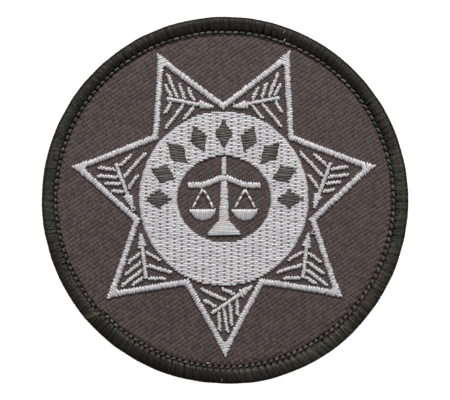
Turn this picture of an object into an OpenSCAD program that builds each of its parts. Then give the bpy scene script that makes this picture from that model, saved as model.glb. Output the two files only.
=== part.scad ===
// Round embroidered patch: a twill disc with a thread-wound edge and raised embroidery.
// The origin is the centre of the underside, +Z points out of the face and +Y to the design's top.
// Bearings are degrees clockwise from the design's top, and all sizes are millimetres.

/* [Patch] */
// Outer diameter over the wound edge
patch_d = 76.2; // [60:0.1:100]
// Thickness of the twill with its backing
cloth_t = 1.0; // [0.8:0.1:1.4]
// Height of the cloth's underside above the surface that the edge rests on
cloth_z = 0.5; // [0.4:0.05:0.6]
// Free gap between two neighbouring pieces
gap = 0.05; // [0.02:0.01:0.1]

/* [Wound edge] */
// Width of the oval thread roll on the edge
roll_w = 3.1; // [2.8:0.05:3.4]
// Height of the thread roll
roll_h = 2.4; // [2.2:0.05:2.8]
// How far the cloth's edge reaches past the middle of the roll
cloth_bite = 0.45; // [0:0.05:0.5]
// Width of the needle-thread line inside the roll
needle_w = 0.7; // [0.6:0.05:1.0]
// Clear groove between the needle-thread line and the roll
groove_w = 0.1; // [0.1:0.05:0.4]

/* [Embroidery heights] */
// Height of the satin-stitched star, arrows and scales over the cloth
satin_t = 0.6; // [0.4:0.05:0.8]
// Height of the flat fill stitches of the ring over the cloth
fill_t = 0.45; // [0.3:0.05:0.6]
// Height of the thin running stitches of the pan cords
cord_t = 0.4; // [0.3:0.05:0.5]
// Height of the dark lozenges over the ring
lozenge_t = 0.35; // [0.25:0.05:0.5]

/* [Star] */
// Width of the star's satin band
band_w = 1.15; // [0.9:0.05:1.3]

/* [Arrows in the star points] */
// Width of an arrow's shaft
shaft_w = 0.8; // [0.6:0.05:1.0]
// Width of a barb
barb_w = 0.72; // [0.5:0.02:0.9]
// Width of an arrowhead at its base
head_w = 2.0; // [1.6:0.1:2.2]
// Length of an arrowhead
head_l = 2.8; // [2.2:0.1:3.2]
// Width of an arrowhead at its blunt point
head_point_w = 0.5; // [0.3:0.05:0.8]

/* [Ring] */
// Width of the ring, which the stitches pull in a little
ring_w = 35.2; // [34:0.1:35.4]
// Height of the ring in the design
ring_h = 36.0; // [34.8:0.1:36.1]
// Width of the ring's oval opening
opening_w = 19.4; // [18.8:0.1:20]
// Height of the ring's oval opening
opening_h = 18.1; // [17.9:0.1:18.8]
// Radius on which the middles of the lozenges lie
lozenge_r = 13.6; // [13.4:0.1:13.8]
// Length of a lozenge along the ring's radius
lozenge_l = 5.6; // [3.5:0.1:5.8]
// Width of a lozenge
lozenge_w = 3.8; // [2:0.1:4]

/* [Scales] */
// Width of the beam from end to end
beam_l = 15.0; // [13:0.1:15.4]
// Thickness of the beam
beam_w = 1.3; // [1:0.05:1.4]
// Width of the finial above the beam
finial_w = 0.95; // [0.7:0.05:1.2]
// Width of the post under the beam
post_top_w = 1.35; // [1:0.05:1.5]
// Width of the post where it meets the base
post_foot_w = 2.2; // [1.8:0.05:2.4]
// Width of the base at its bottom
base_w = 6.8; // [6:0.1:7.2]
// Width of a pan
pan_w = 5.3; // [4.6:0.1:5.4]
// Depth of a pan
pan_h = 2.45; // [2:0.05:2.6]
// Distance of a pan's middle from the post
pan_x = 4.35; // [4.1:0.05:4.5]
// Width of a cord of running stitches
cord_w = 0.4; // [0.3:0.05:0.5]

/* [Hidden] */
// Columns of STAR: name, bearing and radius of the tip, chart of its arrow, side of the arrowhead
// (1 clockwise, -1 anticlockwise), depth of the arrow's tail under the tip, place of the tail across
// the point, angle of the shaft from the point's axis, bearing and radius of the notch after the tip.
STAR = [
    ["upper_right", 23.4, 33.4, "upper", -1, 9.7, -1.6, 55.4, 46.8, 19.55],
    ["right", 77.3, 31.75, "side", 1, 8.9, -2.35, 57, 102.7, 19.35],
    ["lower_right", 129.7, 31.35, "lower", -1, 8.8, -1.75, 57, 155.7, 19.25],
    ["bottom", 179.9, 32.25, "bottom", -1, 8.95, -2.4, 55.9, 205.1, 19.5],
    ["lower_left", 230.2, 31.65, "lower", 1, 8.85, -1.65, 56.9, 257.2, 19.45],
    ["left", 282.4, 32.25, "side", -1, 8.7, -2.15, 56.8, 312, 20.1],
    ["upper_left", 335.4, 33.2, "upper", 1, 9.35, -1.9, 55.6, 358.9, 20.15]
];
STAR_NAME = 0;
TIP_BEARING = 1;
TIP_R = 2;
CHART = 3;
HEAD_SIDE = 4;
TAIL_DEPTH = 5;
TAIL_ACROSS = 6;
SHAFT_ANGLE = 7;
NOTCH_BEARING = 8;
NOTCH_R = 9;

// Columns of ARROWS: chart, length of the arrow from its tail to the head's blunt point.
ARROWS = [
    ["upper", 9.3],
    ["side", 9.5],
    ["lower", 8.9],
    ["bottom", 9.6]
];
ARROW_L = 1;

// Columns of BARBS: chart, side of the shaft (1 towards the star's tip, -1 towards the ring),
// place along the shaft from its tail, sweep back from the shaft, reach from the shaft's middle.
BARBS = [
    ["upper", 1, 0.95, 51, 3.6],
    ["upper", 1, 2.1, 57, 6.15],
    ["upper", 1, 3.6, 60, 4.15],
    ["upper", 1, 5.65, 54, 3.75],
    ["upper", -1, 0.8, 70, 3.35],
    ["upper", -1, 3.55, 62, 6.85],
    ["upper", -1, 5.75, 61, 4.1],
    ["side", 1, 1.05, 62, 4.15],
    ["side", 1, 2.75, 64, 5.0],
    ["side", 1, 4.2, 65, 3.9],
    ["side", 1, 6.0, 62, 3.15],
    ["side", -1, 0.55, 69, 4.15],
    ["side", -1, 3.1, 63, 7.55],
    ["side", -1, 5.75, 56, 4.25],
    ["lower", 1, 0.05, 64, 3.3],
    ["lower", 1, 1.7, 59, 6.1],
    ["lower", 1, 3.35, 59, 4.95],
    ["lower", 1, 5.15, 60, 3.9],
    ["lower", -1, -0.45, 83, 4.05],
    ["lower", -1, 2.45, 67, 6.0],
    ["lower", -1, 5.4, 54, 4.3],
    ["bottom", 1, 1.25, 58, 4.65],
    ["bottom", 1, 2.5, 64, 5.65],
    ["bottom", 1, 4.15, 59, 5.1],
    ["bottom", 1, 5.8, 58, 4.05],
    ["bottom", -1, 1.25, 65, 3.7],
    ["bottom", -1, 3.8, 59, 6.5],
    ["bottom", -1, 6.05, 58, 3.7]
];
BARB_SIDE = 1;
BARB_PLACE = 2;
BARB_SWEEP = 3;
BARB_REACH = 4;

// Places of the ring, its opening and the scales, which sit a little off the patch's centre
ring_at = [-0.25, 0.25];
opening_at = [-0.2, 0.15];
scales_at = [-0.2, 0.1];

// Heights of the scales' parts above the scales' own middle
finial_top = 8.7;
beam_end_y = 2.95;
beam_rise = 1.5;
beam_bend = 5.2;
post_foot_y = -4.5;
base_flare_y = -6.9;
base_bottom_y = -7.3;
pan_top_y = -2.0;
cord_top_y = 2.15;
cord_bottom_y = -1.7;
cord_spread = 2.2;

// Free gap between stitched areas that lie side by side
side_gap = 0.1;

// Lozenges: how many, and how far apart on the ring
lozenge_count = 9;
lozenge_step = 22.5;

// Levels and radii that follow from the sizes above
roll_at_r = (patch_d - roll_w) / 2;
cloth_r = roll_at_r + cloth_bite;
face_z = cloth_z + cloth_t;
stitch_z = face_z + gap;
lip_angle = 180 - asin(2 * stitch_z / roll_h - 1);
roll_inner_r = roll_at_r + roll_w / 2 * cos(lip_angle);
needle_outer_r = roll_inner_r - groove_w;
needle_inner_r = needle_outer_r - needle_w;
round_fn = 180;
bar_fn = 24;
arc_steps = 28;
oval_steps = 72;

// Point at a bearing and a radius from the patch's centre
function at_bearing(bearing, r) = [r * sin(bearing), r * cos(bearing)];

// Points of an oval arc about a centre
function arc(centre, w, h, from, to, steps) = [
    for (i = [0 : steps])
    let (a = from + (to - from) * i / steps)
    centre + [w / 2 * cos(a), h / 2 * sin(a)]
];

// Points of an oval about a centre
function oval(centre, w, h, steps) = [
    for (i = [0 : steps - 1])
    let (a = 360 * i / steps)
    centre + [w / 2 * cos(a), h / 2 * sin(a)]
];

// Rows of a table that have a value in their first column
function rows_of(table, value) = [for (row = table) if (row[0] == value) row];

// Unit vector from one point to another
function unit(a, b) = (b - a) / norm(b - a);

// Closed clockwise outline moved inwards by a distance, with mitred corners
function inset(points, d) = [
    for (i = [0 : len(points) - 1])
    let (
        before = points[(i + len(points) - 1) % len(points)],
        after = points[(i + 1) % len(points)],
        u = unit(before, points[i]),
        v = unit(points[i], after),
        inward_u = [u[1], -u[0]],
        inward_v = [v[1], -v[0]]
    )
    points[i] + (inward_u + inward_v) * d / (1 + inward_u * inward_v)
];

// Outer corners of the star: each tip, then the notch after it
STAR_OUTLINE = [
    for (point = STAR, k = [0, 1])
    k == 0 ? at_bearing(point[TIP_BEARING], point[TIP_R]) : at_bearing(point[NOTCH_BEARING], point[NOTCH_R])
];

// Height of the middle of the scales' beam at a distance from the post
function beam_y(x) = beam_end_y + beam_rise * pow(cos(90 * min(1, abs(x) / beam_bend)), 2);

// Flat bar with round ends from one point to another
module bar(from, to, w) {
    run = to - from;
    translate(from) rotate(atan2(run[1], run[0])) {
        translate([0, -w / 2]) square([norm(run), w]);
        circle(d = w, $fn = bar_fn);
        translate([norm(run), 0]) circle(d = w, $fn = bar_fn);
    }
}

// Axes of one star point: x runs from its tip to the patch's centre, y to the arrowhead's side
module in_point(point) {
    rotate(-point[TIP_BEARING])
        translate([0, point[TIP_R]])
            mirror([min(0, point[HEAD_SIDE]), 0])
                rotate(-90)
                    children();
}

// Axes of the arrow in one star point: x runs from its tail to its head
module along_shaft(point) {
    in_point(point)
        translate([point[TAIL_DEPTH], point[TAIL_ACROSS]])
            rotate(point[SHAFT_ANGLE])
                children();
}

// Twill disc with its backing
module ground_cloth() {
    color([0.29, 0.26, 0.25])
        translate([0, 0, cloth_z])
            cylinder(r = cloth_r, h = cloth_t, $fn = round_fn);
}

// Thread roll around the edge, with a slot for the cloth and a flat band under it
module merrowed_border() {
    slot_bottom = cloth_z - gap;
    slot_r = cloth_r + gap;
    color([0.16, 0.17, 0.15])
        rotate_extrude($fn = round_fn)
            polygon(concat(
                [[needle_inner_r, 0]],
                arc([roll_at_r, roll_h / 2], roll_w, roll_h, -90, lip_angle, arc_steps),
                [[slot_r, stitch_z], [slot_r, slot_bottom], [needle_inner_r, slot_bottom]]
            ));
}

// Rounded line of needle thread that lies on the cloth inside the roll
module needle_line() {
    color([0.5, 0.5, 0.5])
        rotate_extrude($fn = round_fn)
            polygon(arc([needle_outer_r - needle_w / 2, stitch_z], needle_w, needle_w, 0, 180, arc_steps / 2));
}

// Satin band of the star
module star_outline() {
    color([0.68, 0.68, 0.69])
        translate([0, 0, stitch_z])
            linear_extrude(satin_t)
                difference() {
                    polygon(STAR_OUTLINE);
                    polygon(inset(STAR_OUTLINE, band_w));
                }
}

// Shaft and blunt head of the arrow in one star point
module arrow(point) {
    length = rows_of(ARROWS, point[CHART])[0][ARROW_L];
    color([0.7, 0.7, 0.71])
        translate([0, 0, stitch_z])
            linear_extrude(satin_t)
                along_shaft(point)
                    polygon([
                        [-shaft_w / 2, -shaft_w / 2],
                        [length - head_l, -shaft_w / 2],
                        [length - head_l, -head_w / 2],
                        [length, -head_point_w / 2],
                        [length, head_point_w / 2],
                        [length - head_l, head_w / 2],
                        [length - head_l, shaft_w / 2],
                        [-shaft_w / 2, shaft_w / 2]
                    ]);
}

// Seven barbs that sweep back from the shaft in one star point
module barbs(point) {
    color([0.7, 0.7, 0.71])
        translate([0, 0, stitch_z])
            linear_extrude(satin_t)
                along_shaft(point)
                    for (barb = rows_of(BARBS, point[CHART])) {
                        clear = (shaft_w / 2 + side_gap + barb_w / 2) / sin(barb[BARB_SWEEP]);
                        way = [-cos(barb[BARB_SWEEP]), barb[BARB_SIDE] * sin(barb[BARB_SWEEP])];
                        root = [barb[BARB_PLACE], 0];
                        bar(root + way * clear, root + way * (barb[BARB_REACH] - barb_w / 2), barb_w);
                    }
}

// Ring of flat fill stitches with its oval opening
module ring_fill() {
    color([0.65, 0.64, 0.65])
        translate([0, 0, stitch_z])
            linear_extrude(fill_t)
                difference() {
                    polygon(oval(ring_at, ring_w, ring_h, round_fn));
                    polygon(oval(opening_at, opening_w, opening_h, oval_steps));
                }
}

// Dark satin lozenge on the ring, counted clockwise from the left
module lozenge(i) {
    bearing = (i - (lozenge_count + 1) / 2) * lozenge_step;
    color([0.3, 0.28, 0.26])
        translate([0, 0, stitch_z + fill_t + gap])
            linear_extrude(lozenge_t)
                translate(ring_at + at_bearing(bearing, lozenge_r))
                    rotate(-bearing)
                        polygon([
                            [0, lozenge_l / 2],
                            [lozenge_w / 2, 0],
                            [0, -lozenge_l / 2],
                            [-lozenge_w / 2, 0]
                        ]);
}

// One part of the scales, raised from the cloth
module scales_part(height) {
    color([0.72, 0.72, 0.73])
        translate([scales_at[0], scales_at[1], stitch_z])
            linear_extrude(height)
                children();
}

// Short upright above the beam
module scales_finial() {
    foot = beam_y(0) + beam_w / 2 + side_gap;
    scales_part(satin_t)
        translate([-finial_w / 2, foot])
            square([finial_w, finial_top - foot]);
}

// Beam that rises in a bell curve to the post
module scales_beam() {
    stations = [for (i = [0 : arc_steps]) beam_l * (i / arc_steps - 0.5)];
    scales_part(satin_t)
        polygon(concat(
            [for (x = stations) [x, beam_y(x) - beam_w / 2]],
            [for (i = [arc_steps : -1 : 0]) [stations[i], beam_y(stations[i]) + beam_w / 2]]
        ));
}

// Post that widens from the beam to the base
module scales_post() {
    top = beam_y(post_top_w / 2) - beam_w / 2 - side_gap;
    foot = post_foot_y + side_gap;
    scales_part(satin_t)
        polygon([
            [-post_top_w / 2, top],
            [post_top_w / 2, top],
            [post_foot_w / 2, foot],
            [-post_foot_w / 2, foot]
        ]);
}

// Spreading base under the post
module scales_base() {
    shoulder_w = 3.4;
    shoulder_y = -5.1;
    half = [
        [post_foot_w / 2, post_foot_y],
        [shoulder_w / 2, shoulder_y],
        [base_w / 2, base_flare_y],
        [base_w / 2 - side_gap, base_bottom_y]
    ];
    scales_part(satin_t)
        polygon(concat(half, [for (i = [len(half) - 1 : -1 : 0]) [-half[i][0], half[i][1]]]));
}

// Two cords that hang from one apex under the beam
module cords(side) {
    apex = [side * pan_x, cord_top_y];
    scales_part(cord_t)
        for (way = [-1, 1])
            bar(apex, [side * pan_x + way * cord_spread, cord_bottom_y], cord_w);
}

// Half-round pan
module pan(side) {
    pan_r = (pow(pan_w / 2, 2) + pow(pan_h, 2)) / (2 * pan_h);
    scales_part(satin_t)
        translate([side * pan_x, pan_top_y])
            difference() {
                translate([0, pan_r - pan_h])
                    circle(r = pan_r, $fn = round_fn);
                translate([-pan_w, 0])
                    square([2 * pan_w, 2 * pan_r]);
            }
}

ground_cloth();
merrowed_border();
needle_line();
star_outline();
ring_fill();
for (point = STAR) {
    arrow(point);
    barbs(point);
}
scales_finial();
scales_beam();
scales_post();
scales_base();
cords(-1);  // left_cords
cords(1);  // right_cords
pan(-1);  // left_pan
pan(1);  // right_pan
for (i = [1 : lozenge_count]) {
    lozenge(i);
}
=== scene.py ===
"""Round embroidered clothing patch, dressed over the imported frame.

Every stitched area is laid as real threads in place of the CAD node that stands for it. The outlines are read
from the nodes' own meshes, so the threads lie where the CAD model has them. Lengths are metres.
"""

import logging
import math
from dataclasses import dataclass
from enum import Enum

import bpy
import numpy as np
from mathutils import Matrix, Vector


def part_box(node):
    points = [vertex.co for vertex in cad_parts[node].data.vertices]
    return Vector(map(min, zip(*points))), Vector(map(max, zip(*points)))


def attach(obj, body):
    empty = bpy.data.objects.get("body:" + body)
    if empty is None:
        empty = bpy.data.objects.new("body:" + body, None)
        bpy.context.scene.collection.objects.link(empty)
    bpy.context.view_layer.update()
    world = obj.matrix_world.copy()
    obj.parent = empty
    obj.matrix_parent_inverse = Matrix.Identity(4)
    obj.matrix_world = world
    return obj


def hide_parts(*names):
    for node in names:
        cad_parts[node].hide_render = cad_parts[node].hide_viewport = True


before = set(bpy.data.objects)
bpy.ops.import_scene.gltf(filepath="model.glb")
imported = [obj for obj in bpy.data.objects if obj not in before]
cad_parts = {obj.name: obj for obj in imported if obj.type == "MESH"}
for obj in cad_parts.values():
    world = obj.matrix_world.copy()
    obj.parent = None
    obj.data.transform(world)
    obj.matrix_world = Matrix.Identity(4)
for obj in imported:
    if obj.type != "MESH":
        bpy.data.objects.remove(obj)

LOG = logging.getLogger("patch")
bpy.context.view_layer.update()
MM = 0.001
SAME_PLACE = 1e-6
FULL_TURN = 2 * math.pi
THREAD_MAP = "thread"
# Per-vertex brightness: random tone, and in places painted highlights and painted shade.
TONE = "tone"

# Bearings clockwise from the top in degrees, each with the value that the patch's edge has there.
EdgeTable = tuple[tuple[float, float], ...]


class Slot(Enum):
    """Material slots of the record."""

    TWILL = "twill"
    EDGE = "edge_thread"
    NEEDLE = "needle_thread"
    SILVER = "silver_thread"
    DARK = "dark_thread"


class Grain(Enum):
    """Which way the stitches of a filled shape run."""

    ACROSS = "across the shape's longest side"
    LEVEL = "from left to right"
    UPRIGHT = "from top to bottom"


def deselect_all() -> None:
    """Leave nothing selected, so that an operator acts on the new piece alone."""
    bpy.ops.object.select_all(action="DESELECT")


def deselect_mesh() -> None:
    """Deselect all of the active object's mesh and leave it in object mode."""
    bpy.ops.object.mode_set(mode="EDIT")
    bpy.ops.mesh.select_all(action="DESELECT")
    bpy.ops.object.mode_set(mode="OBJECT")


def unit_vector(angle: float) -> np.ndarray:
    """Give the flat unit vector at an angle in radians."""
    return np.array([math.cos(angle), math.sin(angle)])


def unit_rows(vectors: np.ndarray) -> np.ndarray:
    """Scale vectors to unit length along their last axis."""
    return vectors / np.maximum(np.linalg.norm(vectors, axis=-1, keepdims=True), 1e-12)


def half_turned(angle: np.ndarray) -> np.ndarray:
    """Bring angles in radians to between minus half a turn and half a turn."""
    return (angle + math.pi) % FULL_TURN - math.pi


def on_circle(radius: np.ndarray, bearing: np.ndarray) -> np.ndarray:
    """Give the rows of x and y that lie at a distance and an angle from the patch's middle."""
    return np.stack([radius * np.cos(bearing), radius * np.sin(bearing)], axis=1)


def along_edge(bearing: np.ndarray, table: EdgeTable) -> np.ndarray:
    """Look up what changes along the patch's edge.

    Args:
        bearing: Angles from +X, anticlockwise.
        table: Bearings clockwise from the top, and the value at each.

    Returns:
        One value for each angle.
    """
    clockwise, value = zip(*table)
    return np.interp((90.0 - np.degrees(bearing)) % 360.0, clockwise, value)


def ripple(turn: np.ndarray, chance: np.random.Generator, slowest: int, fastest: int) -> np.ndarray:
    """Make a smooth random wave that closes on itself around the patch.

    Args:
        turn: Angles in radians.
        chance: Source of the random parts.
        slowest: Fewest waves in a full turn.
        fastest: Most waves in a full turn.

    Returns:
        One value for each angle, with a standard deviation of about 1.
    """
    counts = np.arange(slowest, fastest + 1)
    parts = [chance.normal() * np.sin(n * turn + chance.uniform(0, FULL_TURN)) for n in counts]
    return np.sum(parts, axis=0) * math.sqrt(2 / len(counts))


# Outlines of the CAD nodes


@dataclass(frozen=True)
class Plan:
    """Closed outlines of a flat CAD solid seen from above, with its lowest and highest level.

    Outer loops run anticlockwise and holes clockwise.
    """

    loops: tuple[np.ndarray, ...]
    low: float
    high: float

    @classmethod
    def of_node(cls, node: str) -> "Plan":
        """Read the outlines from the top faces of a node.

        Args:
            node: Name of the CAD node.

        Returns:
            The node's plan.
        """
        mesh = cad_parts[node].data
        points = np.empty(len(mesh.vertices) * 3)
        mesh.vertices.foreach_get("co", points)
        points = points.reshape(-1, 3)
        mesh.calc_loop_triangles()
        corners = np.empty(len(mesh.loop_triangles) * 3, dtype=np.int32)
        mesh.loop_triangles.foreach_get("vertices", corners)
        corners = corners.reshape(-1, 3)
        low, high = points[:, 2].min(), points[:, 2].max()
        top = corners[(points[corners][:, :, 2] > high - SAME_PLACE).all(axis=1)]
        places, number = np.unique(np.round(points[:, :2], 7), axis=0, return_inverse=True)
        faces = number.reshape(-1)[top]
        edges = {(a, b) for face in faces for a, b in zip(face, np.roll(face, -1))}
        following = {a: b for a, b in edges if (b, a) not in edges}
        loops = []
        while following:
            first, current = following.popitem()
            loop = [first]
            while current != first:
                loop.append(current)
                current = following.pop(current)
            loops.append(places[loop])
        return cls(tuple(loops), float(low), float(high))

    def parts(self) -> list["Plan"]:
        """Give each closed loop as a plan of its own, from left to right."""
        from_left = sorted(self.loops, key=lambda loop: loop[:, 0].mean())
        return [Plan((loop,), self.low, self.high) for loop in from_left]

    def outer(self) -> np.ndarray:
        """Give the loop that encloses the others."""
        return max(self.loops, key=lambda loop: np.ptp(loop[:, 0]))

    def longest_side(self) -> float:
        """Give the angle of the longest straight side, in radians."""
        sides = np.concatenate([np.roll(loop, -1, axis=0) - loop for loop in self.loops])
        longest = sides[np.linalg.norm(sides, axis=1).argmax()]
        return math.atan2(longest[1], longest[0])

    def reach(self, angle: float) -> tuple[float, float]:
        """Give the lowest and highest place of the outline along a direction."""
        along = np.concatenate(self.loops) @ unit_vector(angle)
        return float(along.min()), float(along.max())

    def spans(self, angle: float, offset: float) -> list[tuple[float, float]]:
        """Find the stretches of a straight line that lie inside the outline.

        Args:
            angle: Direction of the line, in radians.
            offset: Distance of the line from the origin, to its left.

        Returns:
            The first and last place of each stretch along the line.
        """
        along, left = unit_vector(angle), unit_vector(angle + math.pi / 2)
        places: list[float] = []
        for loop in self.loops:
            following = np.roll(loop, -1, axis=0)
            a, b = loop @ left - offset, following @ left - offset
            cut = (a > 0) != (b > 0)
            share = a[cut] / (a[cut] - b[cut])
            places += list((loop[cut] * (1 - share)[:, None] + following[cut] * share[:, None]) @ along)
        places.sort()
        return list(zip(places[0::2], places[1::2]))

    def holds(self, points: np.ndarray, margin: float = 0.0) -> np.ndarray:
        """Tell which points lie inside the outline and at least a margin from it along X.

        Args:
            points: Rows of x and y.
            margin: How far inside the outline a point has to be.

        Returns:
            One truth value for each point.
        """
        inside = np.ones(len(points), dtype=bool)
        for shift in (-margin, margin) if margin else (0.0,):
            crossings = np.zeros(len(points), dtype=int)
            for loop in self.loops:
                for (ax, ay), (bx, by) in zip(loop, np.roll(loop, -1, axis=0)):
                    spans = (ay > points[:, 1]) != (by > points[:, 1])
                    if spans.any():
                        at = ax + (points[:, 1] - ay) / (by - ay) * (bx - ax)
                        crossings += spans & (points[:, 0] + shift < at)
            inside &= crossings % 2 == 1
        return inside


# Threads


@dataclass(frozen=True)
class ThreadForm:
    """A straight thread of unit width and depth, modelled once and swept many times.

    Attributes:
        rings: How many rings of vertices it has along its length.
        ring: Number of each vertex's ring.
        across: Place of each vertex across the thread.
        up: Place of each vertex through the thread's depth.
        corners: Vertex numbers of all faces in turn.
        sizes: How many corners each face has.
        turn: Place of each corner around the thread, from 0 to 1.
    """

    rings: int
    ring: np.ndarray
    across: np.ndarray
    up: np.ndarray
    corners: np.ndarray
    sizes: np.ndarray
    turn: np.ndarray

    @classmethod
    def modelled(cls, sides: int, rings: int, end_width: float, turned: float = 0.0) -> "ThreadForm":
        """Model the thread from a cylinder in edit mode.

        Args:
            sides: Sides of its section.
            rings: Rings of vertices along it, both ends included.
            end_width: Share of the width that the ends keep.
            turned: Turn of the section, in radians. Without it a corner is on top.

        Returns:
            The form, read from the modelled mesh.
        """
        deselect_all()
        lying = (0.0, math.pi / 2, 0.0)
        bpy.ops.mesh.primitive_cylinder_add(vertices=sides, radius=0.5, depth=2.0, rotation=lying)
        obj = bpy.context.active_object
        bpy.ops.object.transform_apply(location=False, rotation=True, scale=False)
        mesh = obj.data
        bpy.ops.object.mode_set(mode="EDIT")
        bpy.ops.mesh.select_all(action="SELECT")
        bpy.ops.transform.rotate(value=turned, orient_axis="X", center_override=(0.0, 0.0, 0.0))
        bpy.ops.object.mode_set(mode="OBJECT")
        bpy.context.tool_settings.mesh_select_mode = (False, True, False)
        deselect_mesh()
        for edge in mesh.edges:
            a, b = (mesh.vertices[i].co.x for i in edge.vertices)
            edge.select = abs(a - b) > 1.0
        bpy.ops.object.mode_set(mode="EDIT")
        bpy.ops.mesh.subdivide(number_cuts=rings - 2)
        bpy.ops.object.mode_set(mode="OBJECT")
        bpy.context.tool_settings.mesh_select_mode = (True, False, False)
        deselect_mesh()
        for vertex in mesh.vertices:
            vertex.select = abs(vertex.co.x) > 0.999
        bpy.ops.object.mode_set(mode="EDIT")
        bpy.ops.transform.resize(value=(1.0, end_width, end_width))
        bpy.ops.object.mode_set(mode="OBJECT")
        form = cls._read(mesh, rings)
        bpy.data.objects.remove(obj)
        bpy.data.meshes.remove(mesh)
        return form

    @classmethod
    def _read(cls, mesh: bpy.types.Mesh, rings: int) -> "ThreadForm":
        """Turn the modelled mesh into arrays.

        Args:
            mesh: The modelled thread, along X from -1 to 1.
            rings: Its number of rings.

        Returns:
            The form.
        """
        points = np.array([vertex.co for vertex in mesh.vertices])
        across, up = points[:, 1], points[:, 2]
        corners, sizes, turns = [], [], []
        for face in mesh.polygons:
            numbers = list(face.vertices)
            around = np.arctan2(up[numbers], across[numbers]) / FULL_TURN % 1.0
            if np.ptp(around) > 0.5:
                around = np.where(around < 0.5, around + 1.0, around)
            corners += numbers
            turns += list(around)
            sizes.append(len(numbers))
        ring = np.round((points[:, 0] + 1) / 2 * (rings - 1)).astype(int)
        return cls(rings, ring, across, up, np.array(corners), np.array(sizes), np.array(turns))


class ThreadLayer:
    """Threads of one form that are swept along centrelines and joined as one mesh."""

    def __init__(self, name: str, form: ThreadForm, seed: int) -> None:
        """Start an empty layer.

        Args:
            name: Name of the piece.
            form: The thread that is swept.
            seed: Seed of the threads' small differences.
        """
        self.name = name
        self.form = form
        self.chance = np.random.default_rng(seed)
        self._points: list[np.ndarray] = []
        self._tones: list[np.ndarray] = []
        self._lengths: list[np.ndarray] = []

    @property
    def stations(self) -> np.ndarray:
        """Places of the rings along a thread, from -1 to 1."""
        return np.linspace(-1.0, 1.0, self.form.rings)

    def sweep(
        self,
        centres: np.ndarray,
        across: np.ndarray,
        width: float | np.ndarray,
        depth: float | np.ndarray,
        tones: np.ndarray,
        tilt: float | np.ndarray = 0.0,
    ) -> None:
        """Add threads along their centrelines.

        Args:
            centres: Thread by ring by 3, the middle of each ring.
            across: Thread by 3, or thread by ring by 3, roughly to the left of the thread seen from outside.
            width: Width of the threads, one for all or thread by ring.
            depth: Depth of the threads, one for all or thread by ring.
            tones: Brightness around 1, one for each thread or thread by ring.
            tilt: Turn of the threads about their own length in radians, one for all or one for each.
        """
        count, rings, _ = centres.shape
        if across.ndim == 2:
            across = np.repeat(across[:, None, :], rings, axis=1)
        along = unit_rows(np.gradient(centres, axis=1))
        level = unit_rows(np.cross(along, across))
        flat = unit_rows(np.cross(level, along))
        turn = np.broadcast_to(np.asarray(tilt, dtype=float), (count,))[:, None, None]
        side = flat * np.cos(turn) + level * np.sin(turn)
        out = level * np.cos(turn) - flat * np.sin(turn)
        widths = np.broadcast_to(np.asarray(width, dtype=float), (count, rings))
        depths = np.broadcast_to(np.asarray(depth, dtype=float), (count, rings))
        ring, form = self.form.ring, self.form
        self._points.append(
            centres[:, ring]
            + side[:, ring] * (widths[:, ring] * form.across)[..., None]
            + out[:, ring] * (depths[:, ring] * form.up)[..., None]
        )
        steps = np.linalg.norm(np.diff(centres, axis=1), axis=2)
        lengths = np.concatenate([np.zeros((count, 1)), np.cumsum(steps, axis=1)], axis=1) / MM
        self._lengths.append(lengths[:, ring] + self.chance.uniform(0, 50, (count, 1)))
        by_ring = np.asarray(tones, dtype=float).reshape(count, -1)
        self._tones.append(np.broadcast_to(by_ring, (count, rings))[:, ring])

    def tones(self, count: int, spread: float) -> np.ndarray:
        """Draw the brightness of some threads.

        Args:
            count: How many threads.
            spread: Standard deviation around 1.

        Returns:
            One value for each thread.
        """
        return np.clip(self.chance.normal(1.0, spread, count), 0.5, 1.5)

    def built(self) -> bpy.types.Object:
        """Join the threads as one smooth mesh object with its thread map and tones."""
        form = self.form
        points = np.concatenate(self._points)
        count, size, _ = points.shape
        mesh = bpy.data.meshes.new(self.name)
        mesh.vertices.add(count * size)
        mesh.vertices.foreach_set("co", points.reshape(-1).astype(np.float32))
        corners = (form.corners[None, :] + size * np.arange(count)[:, None]).reshape(-1)
        sizes = np.tile(form.sizes, count)
        mesh.loops.add(len(corners))
        mesh.loops.foreach_set("vertex_index", corners.astype(np.int32))
        mesh.polygons.add(len(sizes))
        mesh.polygons.foreach_set("loop_start", np.concatenate([[0], np.cumsum(sizes)[:-1]]).astype(np.int32))
        mesh.polygons.foreach_set("loop_total", sizes.astype(np.int32))
        mesh.polygons.foreach_set("use_smooth", np.ones(len(sizes), dtype=bool))
        lengths = np.concatenate(self._lengths)
        along = lengths[:, form.corners].reshape(-1)
        places = np.stack([along, np.tile(form.turn, count)], axis=1)
        mesh.uv_layers.new(name=THREAD_MAP)
        mesh.uv_layers[THREAD_MAP].data.foreach_set("uv", places.reshape(-1).astype(np.float32))
        tone = mesh.attributes.new(TONE, "FLOAT", "POINT")
        tone.data.foreach_set("value", np.concatenate(self._tones).reshape(-1).astype(np.float32))
        mesh.update(calc_edges=True)
        mesh.validate()
        obj = bpy.data.objects.new(self.name, mesh)
        bpy.context.scene.collection.objects.link(obj)
        return obj


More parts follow.
